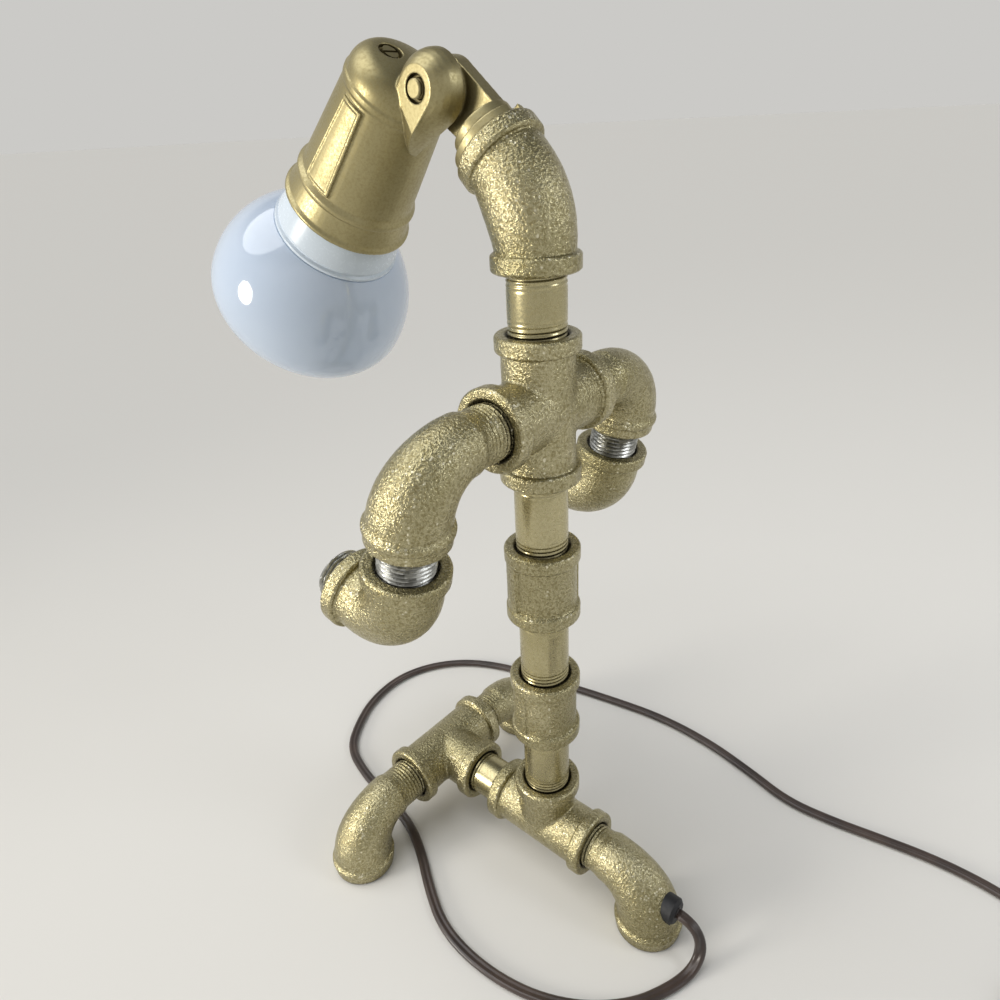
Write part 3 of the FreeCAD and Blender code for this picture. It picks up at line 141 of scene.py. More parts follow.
lampView = dict(lens=26.1, near=0.01, place=(198.1672, 158.8568, 341.2455),
                azimuth=42.3852, elevation=27.4393, roll=-2.9299)
lampCamera = bpy.data.cameras.new("lampCamera")
lampCamera.lens = lampView["lens"]
lampCamera.clip_start = lampView["near"]
cameraObject = link(bpy.data.objects.new("lampCamera", lampCamera))
turn = (Matrix.Rotation(math.radians(90 + lampView["azimuth"]), 4, "Z")
        @ Matrix.Rotation(math.radians(90 - lampView["elevation"]), 4, "X")
        @ Matrix.Rotation(math.radians(lampView["roll"]), 4, "Z"))
cameraObject.matrix_world = Matrix.Translation(inMm(lampView["place"])) @ turn
scene.camera = cameraObject
scene.view_settings.view_transform = "Standard"


# the cord's line: out of the rear foot, down to the floor, round the feet and away to the switch
floorCord = 1.6  # height of its middle where it lies on the floor


def onFloor(x, y):
    return (x, y, floorCord)


cordRoute = [
    (0, 74.1, 20), (0, 80.2, 20), (0.7, 86.2, 14.6), (3.2, 87.8, 6.6), onFloor(10.4, 86.8),
    onFloor(22, 82.8), onFloor(37, 74.5), onFloor(52.5, 58), onFloor(63, 37), onFloor(67.5, 12),
    onFloor(65.5, -13), onFloor(55.5, -33), onFloor(44.5, -50), onFloor(36, -68), onFloor(32.5, -90),
    onFloor(28.5, -117), onFloor(21.5, -138), onFloor(6, -150), onFloor(-14, -160), onFloor(-40, -163),
    onFloor(-64, -154), onFloor(-84, -135), onFloor(-97, -107), onFloor(-105, -72), onFloor(-113, -38),
    onFloor(-119.5, -3), onFloor(-119, 30), onFloor(-113, 60), onFloor(-106.5, 84), onFloor(-109, 108),
    onFloor(-113.5, 130), onFloor(-118, 155), onFloor(-118.5, 178), onFloor(-115.5, 195),
    (-107, 208, 3.2), (-95.83, 214.98, 5.6), (-84, 217, 5.6), (-64, 220.41, 5.6), (-45, 223.65, 5.6),
    (-26.82, 226.74, 5.6), (-19.9, 227.93, 5.2), (-5.2, 229.9, 3.8),
]
# the spare length: turns that wind in, then out again on top, and leave for the plug
coil = dict(centre=(20.0, 199.0), turns=5, turnsIn=2.0, outFrom=3, pointsPerTurn=16, comesIn=99.7,
            leaves=20.0, radius=34.5, spacing=5.5, cornerReach=1.015, low=2.5, lift=3.0, liftFrom=2.6,
            liftOver=0.5)
coilSteps = int(coil["turns"] * coil["pointsPerTurn"]
                + coil["pointsPerTurn"] * (coil["comesIn"] - coil["leaves"]) / 360)
for step in range(coilSteps + 1):
    turned = step / coil["pointsPerTurn"]
    azimuth = math.radians(coil["comesIn"] - 360 * turned)
    inward = min(turned, coil["turnsIn"]) if turned < coil["outFrom"] else max(0.0, coil["turns"] - turned)
    radius = (coil["radius"] - coil["spacing"] * inward) * coil["cornerReach"]
    rise = min(1.0, max(0.0, (turned - coil["liftFrom"]) / coil["liftOver"]))
    cordRoute.append((coil["centre"][0] + radius * math.cos(azimuth),
                      coil["centre"][1] + radius * math.sin(azimuth), coil["low"] + coil["lift"] * rise))
cordRoute += [(58.6, 194.0, 5.2), (62.0, 184.4, 5.8), (64.4, 176.9, 7.6), (65.5, 168.0, 7.6),
              (67.2, 154.1, 7.6)]
cordCurve = bpy.data.curves.new("cordLine", "CURVE")
cordCurve.dimensions = "3D"
cordCurve.resolution_u = 6
line = cordCurve.splines.new("NURBS")
line.points.add(len(cordRoute) - 1)
for point, place in zip(line.points, cordRoute):
    point.co = (*inMm(place), 1)
line.order_u = 3
line.use_endpoint_u = True
cordLine = link(bpy.data.objects.new("cordLine", cordCurve))
graph = bpy.context.evaluated_depsgraph_get()
lineMesh = bpy.data.meshes.new_from_object(cordLine.evaluated_get(graph), depsgraph=graph)
linePoints = [vertex.co.copy() for vertex in lineMesh.vertices]
bpy.data.objects.remove(cordLine)


def addNode(tree, kind, inputs=None, stops=None, **settings):
    # a node with its settings, what feeds it, and for a colour ramp its stops as (place, hex or grey)
    node = tree.nodes.new(kind)
    for name, value in settings.items():
        setattr(node, name, value)
    for name, value in (inputs or {}).items():
        if isinstance(value, bpy.types.NodeSocket):
            tree.links.new(value, node.inputs[name])
        else:
            node.inputs[name].default_value = value
    for index, (place, color) in enumerate(stops or []):
        elements = node.color_ramp.elements
        element = elements[index] if index < len(elements) else elements.new(place)
        element.position = place
        element.color = linear(color) if isinstance(color, str) else (color, color, color, 1)
    return node


lumpsPerMetre = 500  # over a lump's size in millimetres, this is a noise node's scale


def newMaterial(name, **shader):
    # a principled surface and the place on the piece that its patterns are fixed to
    material = bpy.data.materials.new(name)
    material.use_nodes = True
    tree = material.node_tree
    tree.nodes.clear()
    surface = addNode(tree, "ShaderNodeBsdfPrincipled", {k.replace("_", " "): v for k, v in shader.items()})
    addNode(tree, "ShaderNodeOutputMaterial", {"Surface": surface.outputs[0]})
    return material, tree, surface, addNode(tree, "ShaderNodeTexCoord").outputs["Object"]


# where on each pattern's range the gold paint's tone, its painted shade and its painted edge highlight start
# and stop to change
paintRange = dict(patch=(0.3, 0.7), pitShade=(0.36, 0.56), cornerShade=(0.37, 0.445), gapShade=(0.25, 0.75), rubHighlight=(0.54, 0.64))
cornerShadeShare = 0.8  # how far painted shade darkens a sharp inside corner
pitRougher, crestSmoother = 0.1, 0.08  # how the roughness follows the grain


def goldPaint(name, look):
    # metallic gold spray paint: bright lacquer that keeps the bare metal's own surface
    material, tree, surface, place = newMaterial(name, Metallic=look["metallic"])
    broad = addNode(tree, "ShaderNodeTexNoise", {"Vector": place, "Scale": lumpsPerMetre / look["patchMm"],
                                                 "Detail": 2.0, "Roughness": 0.55}).outputs["Fac"]
    grain = addNode(tree, "ShaderNodeTexNoise", {"Vector": place, "Scale": lumpsPerMetre / look["grainMm"],
                                                 # grain: also sets painted shade in its pits, darker where
                                                 # the bump sinks
                                                 "Detail": 2.0, "Roughness": 0.65}).outputs["Fac"]
    lumps = addNode(tree, "ShaderNodeTexNoise", {"Vector": place, "Scale": lumpsPerMetre / look["lumpMm"],
                                                 "Detail": 1.0, "Roughness": 0.55}).outputs["Fac"]
    # pointiness: low in concave corners, where painted shade goes, high on convex edges, where a painted
    # highlight goes
    edges = addNode(tree, "ShaderNodeNewGeometry").outputs["Pointiness"]
    # ambient occlusion, painted into the colour as shade in deep gaps
    aoShade = addNode(tree, "ShaderNodeAmbientOcclusion", {"Distance": look["hollowMm"] * mm},
                     samples=8).outputs["AO"]
    # paint tone, then painted shade in the grain's pits, in concave corners and in deep gaps
    tone = addNode(tree, "ShaderNodeValToRGB", {"Fac": broad},
                   zip(paintRange["patch"], (look["dark"], look["light"]))).outputs["Color"]
    # each row: share, mask, range and colour of a painted shade; the look's depth is how far the gap shade
    # darkens
    for share, mask, reach, color in ((1.0, grain, "pitShade", look["pitShade"]),
                                      (cornerShadeShare, edges, "cornerShade", look["creviceShade"]),
                                      (look["depth"], aoShade, "gapShade", look["creviceShade"])):
        darker = addNode(tree, "ShaderNodeValToRGB", {"Fac": mask},
                         zip(paintRange[reach], (color, "#ffffff")))
        tone = addNode(tree, "ShaderNodeMix", {0: share, 6: tone, 7: darker.outputs["Color"]},
                       data_type="RGBA", blend_type="MULTIPLY").outputs[2]
    # convex edges brightened towards pale cream: rubbed paint and a painted highlight
    rubHighlight = addNode(tree, "ShaderNodeValToRGB", {"Fac": edges}, zip(paintRange["rubHighlight"], (0.0, look["rubHighlight"])))
    rubHighlighted = addNode(tree, "ShaderNodeMix", {0: rubHighlight.outputs["Color"], 6: tone, 7: linear(look["edge"])},
                   data_type="RGBA")
    tree.links.new(rubHighlighted.outputs[2], surface.inputs["Base Color"])
    rough = addNode(tree, "ShaderNodeValToRGB", {"Fac": grain},
                    [(0.3, look["roughness"] + pitRougher), (0.7, look["roughness"] - crestSmoother)])
    tree.links.new(rough.outputs["Color"], surface.inputs["Roughness"])
    waves = addNode(tree, "ShaderNodeBump", {"Height": lumps, "Distance": look["lumpDepth"] * mm})
    sand = addNode(tree, "ShaderNodeBump", {"Height": grain, "Distance": look["grainDepth"] * mm,
                                            "Normal": waves.outputs["Normal"]})
    tree.links.new(sand.outputs["Normal"], surface.inputs["Normal"])
    return material


# sand-cast iron under gold spray: a sandy sparkle, rubbed edges with a painted highlight, and painted shade
# in gaps, corners and the grain's pits;
# foundry sand is about 0.3 mm and is drawn at 0.5 mm so that it shows
castGold = goldPaint("castIronGoldSpray", dict(
    metallic=0.94, patchMm=14, dark="#a59d78", light="#c1b996", pitShade="#cec9b8", creviceShade="#3c331c",
    edge="#f4eed4", rubHighlight=0.7, depth=0.85, hollowMm=7, grainMm=0.5, grainDepth=0.55, lumpMm=1.4,
    lumpDepth=0.22, roughness=0.29))

# drawn pipe under gold spray: smooth, with long soft highlights, painted shade in its gaps and a faint
# painted highlight on its edges
pipeGold = goldPaint("drawnPipeGoldSpray", dict(
    metallic=0.92, patchMm=20, dark="#a69d76", light="#bfb691", pitShade="#f4f2ec", creviceShade="#3a3220",
    edge="#ece5c4", rubHighlight=0.3, depth=0.8, hollowMm=7, grainMm=0.6, grainDepth=0.02, lumpMm=5.0,
    lumpDepth=0.08, roughness=0.26))

# zinc die casting under gold spray: satin, with a faint orange peel and painted shade in its corners and
# gaps
satinGold = goldPaint("dieCastSatinGoldSpray", dict(
    metallic=0.9, patchMm=24, dark="#9c926b", light="#b1a780", pitShade="#f2f0ea", creviceShade="#6a5f40",
    edge="#ded6ae", rubHighlight=0.0, depth=0.7, hollowMm=7, grainMm=0.5, grainDepth=0.012, lumpMm=2.4,
    lumpDepth=0.03, roughness=0.42))

# hot-dip galvanised steel: grey spangle about 2.4 mm across, bright crests and painted shade darkening the
# thread roots
zincLook = dict(spanglesPerMetre=420.0, dull="#8d8d88", bright="#c3c3bd", root="#4a463c", rootShare=0.9,
                smooth=0.24, rough=0.42, grainMm=0.7, grainDepth=0.06)
zinc, zincTree, zincSurface, zincPlace = newMaterial("galvanisedSteel", Metallic=1.0)
spangle = addNode(zincTree, "ShaderNodeTexVoronoi", {"Vector": zincPlace,
                                                     "Scale": zincLook["spanglesPerMetre"]}).outputs["Color"]
zincTone = addNode(zincTree, "ShaderNodeValToRGB", {"Fac": spangle},
                   [(0.2, zincLook["dull"]), (0.8, zincLook["bright"])]).outputs["Color"]
# painted shade: darkens concave places such as the thread roots
zincEdges = addNode(zincTree, "ShaderNodeNewGeometry").outputs["Pointiness"]
zincShade = addNode(zincTree, "ShaderNodeValToRGB", {"Fac": zincEdges},
                    [(0.42, zincLook["root"]), (0.52, "#ffffff")]).outputs["Color"]
zincToneShaded = addNode(zincTree, "ShaderNodeMix", {0: zincLook["rootShare"], 6: zincTone, 7: zincShade},
                   data_type="RGBA", blend_type="MULTIPLY")
zincTree.links.new(zincToneShaded.outputs[2], zincSurface.inputs["Base Color"])
zincGrain = addNode(zincTree, "ShaderNodeTexNoise", {
    "Vector": zincPlace, "Scale": lumpsPerMetre / zincLook["grainMm"], "Detail": 3.0, "Roughness": 0.55})
zincRough = addNode(zincTree, "ShaderNodeValToRGB", {"Fac": zincGrain.outputs["Fac"]},
                    [(0.3, zincLook["smooth"]), (0.7, zincLook["rough"])])
zincTree.links.new(zincRough.outputs["Color"], zincSurface.inputs["Roughness"])
zincBump = addNode(zincTree, "ShaderNodeBump", {"Height": zincGrain.outputs["Fac"],
                                                "Distance": zincLook["grainDepth"] * mm})
zincTree.links.new(zincBump.outputs["Normal"], zincSurface.inputs["Normal"])


def plainMaterial(name, color, roughness, metallic=0.0, grainMm=0.8, grainDepth=0.03, shade=0.8,
                  spread=0.05):
    # one tone that darkens to the given share in a fine grain, for small and hidden pieces
    material, tree, surface, place = newMaterial(name, Metallic=metallic)
    grain = addNode(tree, "ShaderNodeTexNoise", {"Vector": place, "Scale": lumpsPerMetre / grainMm,
                                                 "Detail": 3.0, "Roughness": 0.55}).outputs["Fac"]
    base = linear(color)
    darker = tuple(c * shade for c in base[:3]) + (1,)
    tone = addNode(tree, "ShaderNodeMix", {0: grain, 6: darker, 7: base}, data_type="RGBA")
    tree.links.new(tone.outputs[2], surface.inputs["Base Color"])
    rough = addNode(tree, "ShaderNodeValToRGB", {"Fac": grain},
                    [(0.3, roughness - spread), (0.7, roughness + spread)])
    tree.links.new(rough.outputs["Color"], surface.inputs["Roughness"])
    relief = addNode(tree, "ShaderNodeBump", {"Height": grain, "Distance": grainDepth * mm})
    tree.links.new(relief.outputs["Normal"], surface.inputs["Normal"])
    return material


plated = plainMaterial("zincPlatedScrew", "#b9b6a8", 0.3, metallic=1.0)  # a cool grey glint
stampedBrass = plainMaterial("stampedBrass", "#c9a455", 0.25, metallic=1.0)  # a warm bright glint
blackRubber = plainMaterial("mouldedRubber", "#16171a", 0.55, grainDepth=0.05)  # soft matt black
phenolic = plainMaterial("mouldedPhenolic", "#1c1916", 0.35)  # near black with a low sheen
boardCoat = plainMaterial("whiteBoardCoat", "#d8d6cc", 0.5)  # flat white
brownPlastic = plainMaterial("mouldedBrownPlastic", "#3a2a20", 0.32)  # dark brown with a soft gloss
copperCrimp = plainMaterial("crimpedCopper", "#b8744a", 0.35, metallic=1.0)  # a reddish satin
leadCoat = plainMaterial("insulatedLead", "#241f1d", 0.45)  # dark vinyl, a little glossy

# sprayed white lacquer on the bulb's neck: an even cool white whose gloss varies a little
neckLook = dict(color="#c9d4df", smooth=0.2, rough=0.3, grainMm=0.6)
whiteNeck, neckTree, neckSurface, neckPlace = newMaterial("whiteLacqueredNeck",
                                                          Base_Color=linear(neckLook["color"]))
neckGrain = addNode(neckTree, "ShaderNodeTexNoise", {
    "Vector": neckPlace, "Scale": lumpsPerMetre / neckLook["grainMm"], "Detail": 3.0, "Roughness": 0.55})
neckRough = addNode(neckTree, "ShaderNodeValToRGB", {"Fac": neckGrain.outputs["Fac"]},
                    [(0.3, neckLook["smooth"]), (0.7, neckLook["rough"])])
neckTree.links.new(neckRough.outputs["Color"], neckSurface.inputs["Roughness"])

# extruded brown vinyl: glossy, with a grey bloom along the lobes
cordLook = dict(dark="#2b201b", light="#43342c", bloomMm=9, grainMm=1.4, grainDepth=0.05)
cordVinyl, cordTree, cordSurface, cordPlace = newMaterial(
    "brownVinylCord", Roughness=0.34, Sheen_Weight=0.25, Specular_IOR_Level=0.6)
bloom = addNode(cordTree, "ShaderNodeTexNoise", {
    "Vector": cordPlace, "Scale": lumpsPerMetre / cordLook["bloomMm"], "Detail": 3.0, "Roughness": 0.55})
cordTone = addNode(cordTree, "ShaderNodeValToRGB", {"Fac": bloom.outputs["Fac"]},
                   [(0.35, cordLook["dark"]), (0.7, cordLook["light"])])
cordTree.links.new(cordTone.outputs["Color"], cordSurface.inputs["Base Color"])
cordGrain = addNode(cordTree, "ShaderNodeTexNoise", {
    "Vector": cordPlace, "Scale": lumpsPerMetre / cordLook["grainMm"], "Detail": 3.0, "Roughness": 0.55})
cordBump = addNode(cordTree, "ShaderNodeBump", {"Height": cordGrain.outputs["Fac"],
                                                "Distance": cordLook["grainDepth"] * mm})
cordTree.links.new(cordBump.outputs["Normal"], cordSurface.inputs["Normal"])

# blown opal glass: a milky blue-white body under a clear glossy skin
opalLook = dict(dark="#b9c9e0", light="#c3d1e5", cloudMm=30)
opalGlass, opalTree, opalSurface, opalPlace = newMaterial(
    "opalGlass", Roughness=0.09, IOR=1.5, Coat_Weight=0.6, Coat_Roughness=0.03,
    Subsurface_Weight=0.12, Subsurface_Scale=0.02, Subsurface_Radius=(1.0, 1.0, 1.2))
cloud = addNode(opalTree, "ShaderNodeTexNoise", {
    "Vector": opalPlace, "Scale": lumpsPerMetre / opalLook["cloudMm"], "Detail": 1.0, "Roughness": 0.55})
opalTone = addNode(opalTree, "ShaderNodeValToRGB", {"Fac": cloud.outputs["Fac"]},
                   [(0.3, opalLook["dark"]), (0.7, opalLook["light"])])
opalTree.links.new(opalTone.outputs["Color"], opalSurface.inputs["Base Color"])
print("materials made", len(bpy.data.materials))


# a matt pale floor that meets a band of the same tone at eye level, darker walls above it and a ceiling;
# the heights are sines of the angle above level
backdrop = dict(floor="#dddbd6", floorSize=60, floorZ=-0.0001, horizon="#cbcac7", bandTop=0.5,
                wall="#504d49", wallFrom=0.66, wallTo=0.76, ceiling="#8f9398", ceilingFrom=0.9)
floorMesh = bmesh.new()
bmesh.ops.create_grid(floorMesh, x_segments=2, y_segments=2, size=backdrop["floorSize"])
floor = link(bpy.data.objects.new("floor", bpy.data.meshes.new("floor")))
floorMesh.to_mesh(floor.data)
floorMesh.free()
floor.location.z = backdrop["floorZ"]
floor.data.materials.append(newMaterial("paleFloor", Base_Color=linear(backdrop["floor"]), Roughness=1.0,
                                        Specular_IOR_Level=0.0)[0])

world = bpy.data.worlds.new("studio")
scene.world = world
world.use_nodes = True
sky = world.node_tree
sky.nodes.clear()
direction = addNode(sky, "ShaderNodeTexCoord").outputs["Generated"]
height = addNode(sky, "ShaderNodeSeparateXYZ", {"Vector": direction}).outputs["Z"]
shade = addNode(sky, "ShaderNodeValToRGB", {"Fac": height}, [
    (backdrop["bandTop"], backdrop["horizon"]), (backdrop["wallFrom"], backdrop["wall"]),
    (backdrop["wallTo"], backdrop["wall"]), (backdrop["ceilingFrom"], backdrop["ceiling"])])
room = addNode(sky, "ShaderNodeBackground", {"Color": shade.outputs["Color"]})
addNode(sky, "ShaderNodeOutputWorld", {"Surface": room.outputs[0]})

# a soft sun, a low key that rounds the pipes and glints on the bulb, and a cool light from behind
lampsAim = (0, 0.02, 0.2)
lamps = {
    "softSun": dict(kind="SUN", place=(0.5, -0.5, 1.6), energy=1.78, color="#ffffff", angle=55),
    "keySoftbox": dict(kind="AREA", place=(1.21, -0.63, 0.394), energy=1.4, color="#fffaf0", size=0.44,
                       spread=60),
    "rimSoftbox": dict(kind="AREA", place=(-0.35, 0.9, 0.75), energy=2, color="#f4f8ff", size=0.35,
                       spread=180),
}
for name, lamp in lamps.items():
    light = bpy.data.lights.new(name, lamp["kind"])
    light.energy = lamp["energy"]
    light.color = linear(lamp["color"])[:3]
    if lamp["kind"] == "SUN":
        light.angle = math.radians(lamp["angle"])
    else:
        light.shape = "DISK"
        light.size = lamp["size"]
        light.spread = math.radians(lamp["spread"])
    lightObject = link(bpy.data.objects.new(name, light))
    lightObject.location = lamp["place"]
    way = Vector(lampsAim) - Vector(lamp["place"])
    lightObject.rotation_euler = way.to_track_quat("-Z", "Y").to_euler()
print("stage ready")


def castPiece(node, body, material, slot, look):
    # the CAD piece with its edges softened and its surface a little uneven, as a casting's is
    piece = link(bpy.data.objects.new(node + "Cast", nodes[node].data.copy()))
    remesh = piece.modifiers.new("voxels", "REMESH")
    remesh.mode = "VOXEL"
    remesh.voxel_size = look["voxelMm"] * mm * 1
    baked(piece)
    group = piece.vertex_groups.new(name="soft")
    co = coords(piece.data)
    weight = np.ones(len(co), np.float32)
    for origin, direction, first, last in look.get("crisp", []):
        along = (co - np.array(inMm(origin))) @ np.array(direction)
        weight[(along > first * mm) & (along < last * mm)] = look.get("crispSoften", 0.0)
    for index in np.nonzero(weight)[0]:
        group.add([int(index)], float(weight[index]), "ADD")
    smooth = piece.modifiers.new("soften", "SMOOTH")
    smooth.factor = 0.5
    smooth.iterations = look["soften"]
    smooth.vertex_group = "soft"
    if "hub" in look:
        hub = look["hub"]
        away = np.linalg.norm(co - np.array(inMm(hub["centre"])), axis=1) / mm
        near = np.clip((hub["reach"] - away) / hub["fade"], 0, 1)
        blend = piece.vertex_groups.new(name="hub")
        for index in np.nonzero(near)[0]:
            blend.add([int(index)], float(near[index]), "ADD")
        fillet = piece.modifiers.new("fillet", "SMOOTH")
        fillet.factor = 0.5
        fillet.iterations = hub["rounds"]
        fillet.vertex_group = "hub"
    baked(piece)
    piece.vertex_groups.clear()
    if "lumpDepth" in look:
        co = coords(piece.data)
        normals = np.empty(len(co) * 3, np.float32)
        piece.data.vertices.foreach_get("normal", normals)
        lumpSize = look["lumpMm"] * mm
        lumps = np.array([noise.noise(Vector(p) / lumpSize) for p in co.tolist()], np.float32)
        co += normals.reshape(-1, 3) * (lumps * look["lumpDepth"] * mm * weight)[:, None]
        piece.data.vertices.foreach_set("co", co.ravel())
    piece.data.materials.clear()
    piece.data.materials.append(material)
    piece.data.shade_smooth()
    return rideAs(piece, slot, body, node)


# fittings: each one's body, the middles whose ports flow into each other, and the male threads
ironLook = dict(voxelMm=0.38, soften=1, lumpMm=3.0, lumpDepth=0.06, crispSoften=0.6)
hubLook = dict(reach=20.5, fade=3, rounds=60)
castBodies = {
    "left_foot": "stand", "right_foot": "stand", "rear_foot": "stand", "base_tee": "stand",
    "front_tee": "stand", "lower_coupling": "stand", "upper_coupling": "stand", "body_cross": "stand",
    "neck_elbow": "neck", "left_shoulder": "left_upper_arm", "right_shoulder": "right_upper_arm",
    "left_forearm": "left_lower_arm", "right_forearm": "right_lower_arm",
}
hubs = {"body_cross": (0, 0, 246.9), "base_tee": (0, 0, 28.4), "front_tee": (0, -72.4, 28.4)}
threadSpan = (25.0, 41.4)  # a street elbow's male thread, from its centre
streetEnds = {
    "left_foot": ((64.6, -72.4, 28.4), (-1, 0, 0)),
    "right_foot": ((-64.6, -72.4, 28.4), (1, 0, 0)),
    "rear_foot": ((0, 59.5, 28.4), (0, -1, 0)),
    "left_shoulder": ((63.9, 0, 246.9), (-1, 0, 0)),
    "right_shoulder": ((-63.9, 0, 246.9), (1, 0, 0)),
}
for node, body in castBodies.items():
    look = dict(ironLook)
    if node in streetEnds:
        look["crisp"] = [streetEnds[node] + threadSpan]
    if node in hubs:
        look["hub"] = dict(hubLook, centre=hubs[node])
    castPiece(node, body, castGold, "gold_iron", look)
print("castings made")


# half-inch pipe: thread pitch, outside and bore; turns over which a thread runs out; thread outline
pipeLook = dict(pitch=1.814, outer=10.67, bore=7.9, rowsPerPitch=8, runOutTurns=3, tipMm=1.2,
                flankSlope=2.6, rootFlat=0.15, around=96, quickAround=48, sharpDegrees=50)


def threadedPipe(name, node, body, material, slot, start, way, length, threads, depth):
    # pipe with a helical thread at each end that runs out towards the middle
    pitch, outer = pipeLook["pitch"], pipeLook["outer"]
    around = pipeLook["around"]
    rows = int(length / (pitch / pipeLook["rowsPerPitch"])) + 1
    rings = []
    for row in range(rows + 1):
        place = length * row / rows
        fromEnd = min(place, length - place)
        runOut = min(1.0, max(0.0, (threads - fromEnd) / (pipeLook["runOutTurns"] * pitch)))
        tip = min(1.0, fromEnd / pipeLook["tipMm"])
        radii = []
        for step in range(around):
            phase = (place / pitch - step / around) % 1.0
            flank = pipeLook["flankSlope"] * (0.5 - abs(phase - 0.5)) - pipeLook["rootFlat"]
            crest = min(1.0, max(0.0, flank))
            radii.append(outer - depth * runOut * (1 - crest) - (1 - tip) * depth)
        rings.append((radii, place))
    rings += [(pipeLook["bore"], length), (pipeLook["bore"], 0.0)]
    pipe = meshPiece(name, ringPoints(start, way, rings, around), ringFaces(len(rings), around))
    smoothShade(pipe, pipeLook["sharpDegrees"])
    pipe.data.materials.append(material)
    return rideAs(pipe, slot, body, node)


# painted nipples of the stand: where each starts, its way, length and how far its threads reach
goldThread = 0.42
nipples = {
    "lower_nipple": ((0, 0, 47.2), (0, 0, 1), 50.8, 16.3),
    "middle_nipple": ((0, 0, 113.1), (0, 0, 1), 50.8, 16.3),
    "upper_nipple": ((0, 0, 178.15), (0, 0, 1), 50.8, 16.3),
    "neck_nipple": ((0, 0, 266.8), (0, 0, 1), 38.1, 15.0),
    "base_nipple": ((0, -17.15, 28.4), (0, -1, 0), 38.1, 15.0),
}
for node, (start, way, length, threads) in nipples.items():
    threadedPipe(node + "Pipe", node, "stand", pipeGold, "gold_pipe", start, way, length, threads,
                 goldThread)

# bare galvanised pipe of the arms, threaded all along: the close nipple and the hand's stub
arms = dict(lean=12.5, shoulder=(63.9, 0, 246.9), nippleDown=19.8, nippleLength=28.6, handDown=68.2,
            handForward=19.7, handLength=17.0, allThread=40.0, threadDepth=0.8)
lean = math.radians(arms["lean"])
armDown = Vector((0, -math.sin(lean), -math.cos(lean)))
armForward = Vector((0, -math.cos(lean), math.sin(lean)))
for side, word in ((1, "left"), (-1, "right")):
    x, y, z = arms["shoulder"]
    shoulder = Vector((side * x, y, z))
    threadedPipe(word + "ArmPipe", word + "_arm_nipple", word + "_upper_arm", zinc, "zinc_pipe",
                 shoulder + armDown * arms["nippleDown"], armDown, arms["nippleLength"],
                 arms["allThread"], arms["threadDepth"])
    hand = shoulder + armDown * arms["handDown"] + armForward * arms["handForward"]
    threadedPipe(word + "HandPipe", word + "_hand_nipple", word + "_lower_arm", zinc, "zinc_pipe",
                 hand, armForward, arms["handLength"], arms["allThread"], arms["threadDepth"])
print("pipes made")


# die castings of the head; the knuckle's flat face and the arm's stem stay crisp
armWay = (0, -math.sqrt(0.5), math.sqrt(0.5))
castPiece("lampholder_housing", "head", satinGold, "gold_diecast",
          dict(voxelMm=0.32, soften=3, crisp=[((0, 0, 0), (1, 0, 0), 11.2, 13.0)]))
castPiece("swivel_arm", "neck", satinGold, "gold_diecast",
          dict(voxelMm=0.4, soften=2, crisp=[((0, -15.84, 334.64), armWay, -12.0, 4.0)]))
castPiece("arm_locknut", "neck", satinGold, "gold_diecast", dict(voxelMm=0.3, soften=2))


# the head's axis: places on the bulb run from the dome's top towards the globe
head = dict(origin=(0, -52.9566, 361.4303), tilt=47.1, around=160, quickAround=64, sharpDegrees=35)
headTilt = math.radians(head["tilt"])
headDir = Vector((0, -math.cos(headTilt), -math.sin(headTilt)))


def lathePiece(name, node, slot, material, profile):
    # closed outline of (radius, place), turned about the head's axis
    around = head["around"]
    piece = meshPiece(name, ringPoints(head["origin"], headDir, profile, around),
                      ringFaces(len(profile), around))
    smoothShade(piece, head["sharpDegrees"])
    piece.data.materials.append(material)
    return rideAs(piece, slot, "bulb", node)


def roundedProfile(points, radius, steps=5, share=0.45):
    # outline whose corners are rounded by the given radius, or by a share of a side that is shorter
    rounded = []
    for index, corner in enumerate(points):
        here = Vector(corner)
        toward = Vector(points[index - 1]) - here
        onward = Vector(points[(index + 1) % len(points)]) - here
        reach = min(radius, toward.length * share, onward.length * share)
        first, last = here + toward.normalized() * reach, here + onward.normalized() * reach
        for step in range(steps + 1):
            part = step / steps
            rounded.append(tuple(first.lerp(here, part).lerp(here.lerp(last, part), part)))
    return rounded


# flattened globe: two half ellipses that meet at its widest place, and the same again inside the wall
globe = dict(radius=44.0, widestAt=116.0, back=45.0, front=28.5, neckAt=80.05, wall=1.2, steps=60,
             poleRadius=0.02)
globeProfile = []
for wall, order in ((0.0, 1), (globe["wall"], -1)):
    widest, back, front = (globe[size] - wall for size in ("radius", "back", "front"))
    startAngle = -math.asin((globe["widestAt"] - globe["neckAt"]) / back)
    arc = []
    for step in range(globe["steps"] + 1):
        angle = startAngle + (math.pi / 2 - startAngle) * step / globe["steps"]
        reach = back if angle < 0 else front
        arc.append((max(widest * math.cos(angle), globe["poleRadius"]),
                    globe["widestAt"] + reach * math.sin(angle)))
    globeProfile += arc[::order]
lathePiece("opalGlobe", "bulb_globe", "milky_glass", opalGlass, globeProfile)

# the neck's cone with the lip that holds the globe
collar = dict(edgeRadius=0.35, outline=[
    (12.6, 44.6), (12.6, 48.0), (22.2, 59.7), (23.0, 64.7), (25.6, 76.6), (25.0, 77.2), (25.0, 77.9),
    (26.3, 78.4), (26.3, 79.6), (25.5, 80.0), (23.9, 80.0), (21.4, 64.7), (20.6, 61.3), (11.0, 49.6),
    (11.0, 44.6)])
lathePiece("whiteNeck", "bulb_collar", "white_collar", whiteNeck,
           roundedProfile(collar["outline"], collar["edgeRadius"]))
print("bulb made")


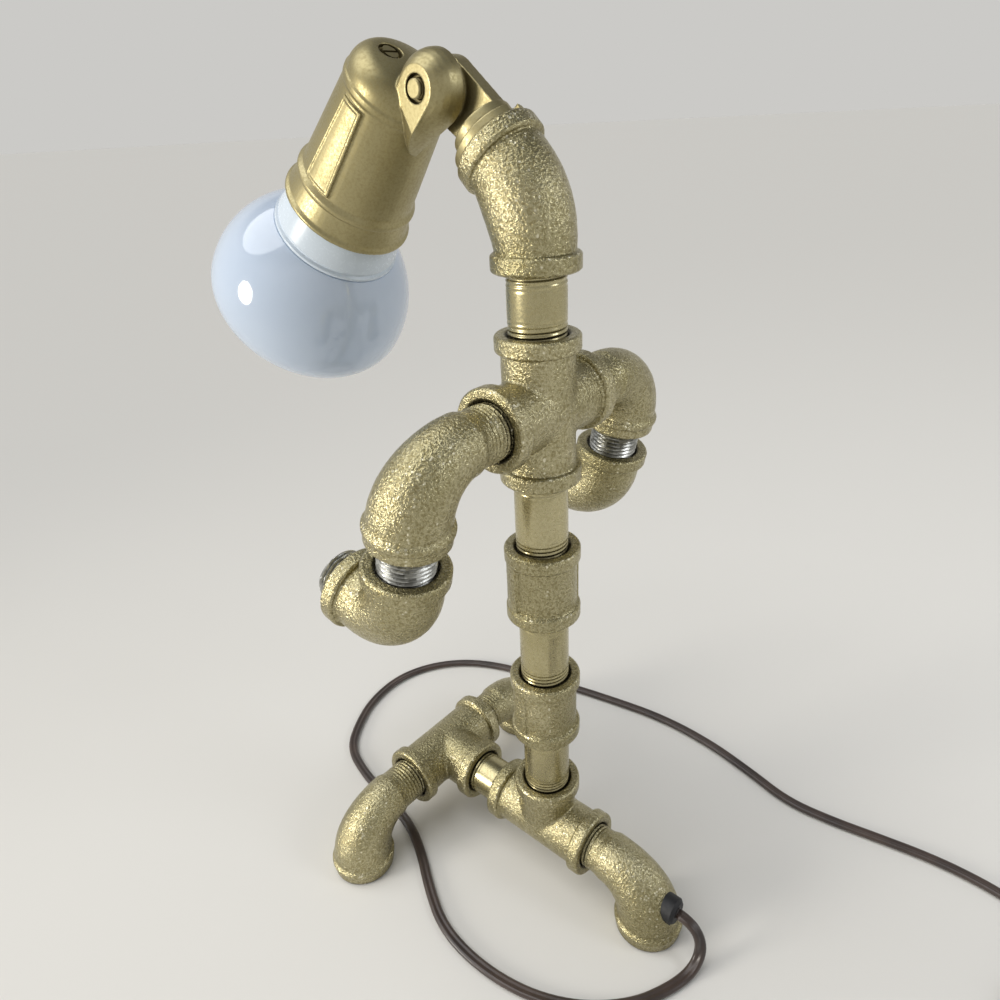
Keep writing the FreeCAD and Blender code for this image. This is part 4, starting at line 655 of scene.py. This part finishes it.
plainNodes = {
    satinGold: ["top_screw", "pivot_screw"],
    plated: ["lock_washer", "terminal_screws", "switch_screws"],
    stampedBrass: ["socket_shell", "centre_contact", "bulb_cap", "bulb_contact", "plug_blades",
                   "switch_contacts"],
    blackRubber: ["cord_grommet", "mouth_gasket"],
    phenolic: ["socket_insulator", "bulb_insulator"],
    boardCoat: ["led_board"],
    brownPlastic: ["switch_base", "switch_cover", "switch_rocker", "plug_body", "plug_relief",
                   "coil_tie"],
    leadCoat: ["neck_leads", "socket_leads"],
    copperCrimp: ["splices"],
    cordVinyl: ["inner_cord", "cord_run", "cord_lead", "cord_tail", "cord_coil", "switch_cord",
                "plug_cord"],
}
nodeSharpDegrees = 30
for material, members in plainNodes.items():
    for node in members:
        nodes[node].data.materials.clear()
        nodes[node].data.materials.append(material)
        smoothShade(nodes[node], nodeSharpDegrees)


# flat twin lead: two round lobes side by side, each an arc that stops short of the groove between them
twin = dict(lobe=1.45, halfGap=1.2, arcs=((1, -125, 125), (-1, 55, 305)), arcSteps=10)
outline = []
for way, first, last in twin["arcs"]:
    for step in range(twin["arcSteps"] + 1):
        angle = math.radians(first + (last - first) * step / twin["arcSteps"])
        outline.append((way * twin["halfGap"] + twin["lobe"] * math.cos(angle),
                        twin["lobe"] * math.sin(angle)))
cordPoints, cordFaces = [], []
sideBefore = None
for index, point in enumerate(linePoints):
    tangent = linePoints[min(index + 1, len(linePoints) - 1)] - linePoints[max(index - 1, 0)]
    tangent.normalize()
    side = Vector((0, 0, 1)).cross(tangent).normalized()  # the wide axis lies level
    if sideBefore is not None and side.dot(sideBefore) < 0:
        side = -side
    sideBefore = side
    rise = tangent.cross(side).normalized()
    for across, high in outline:
        cordPoints.append(point + side * (across * mm) + rise * (high * mm))
count = len(outline)
lastRow = len(linePoints) - 1
for row in range(lastRow):
    for step in range(count):
        after = (step + 1) % count
        cordFaces.append((row * count + step, row * count + after,
                          (row + 1) * count + after, (row + 1) * count + step))
cordFaces.append(tuple(range(count))[::-1])
cordFaces.append(tuple(lastRow * count + step for step in range(count)))
cordTube = meshPiece("twinCord", cordPoints, cordFaces)
cordTube.data.shade_smooth()
cordTube.data.materials.append(cordVinyl)
rideAs(cordTube, "brown_cord", "stand",
       "cord_run", "cord_lead", "cord_coil", "cord_tail", "switch_cord", "plug_cord")
print("cord made")
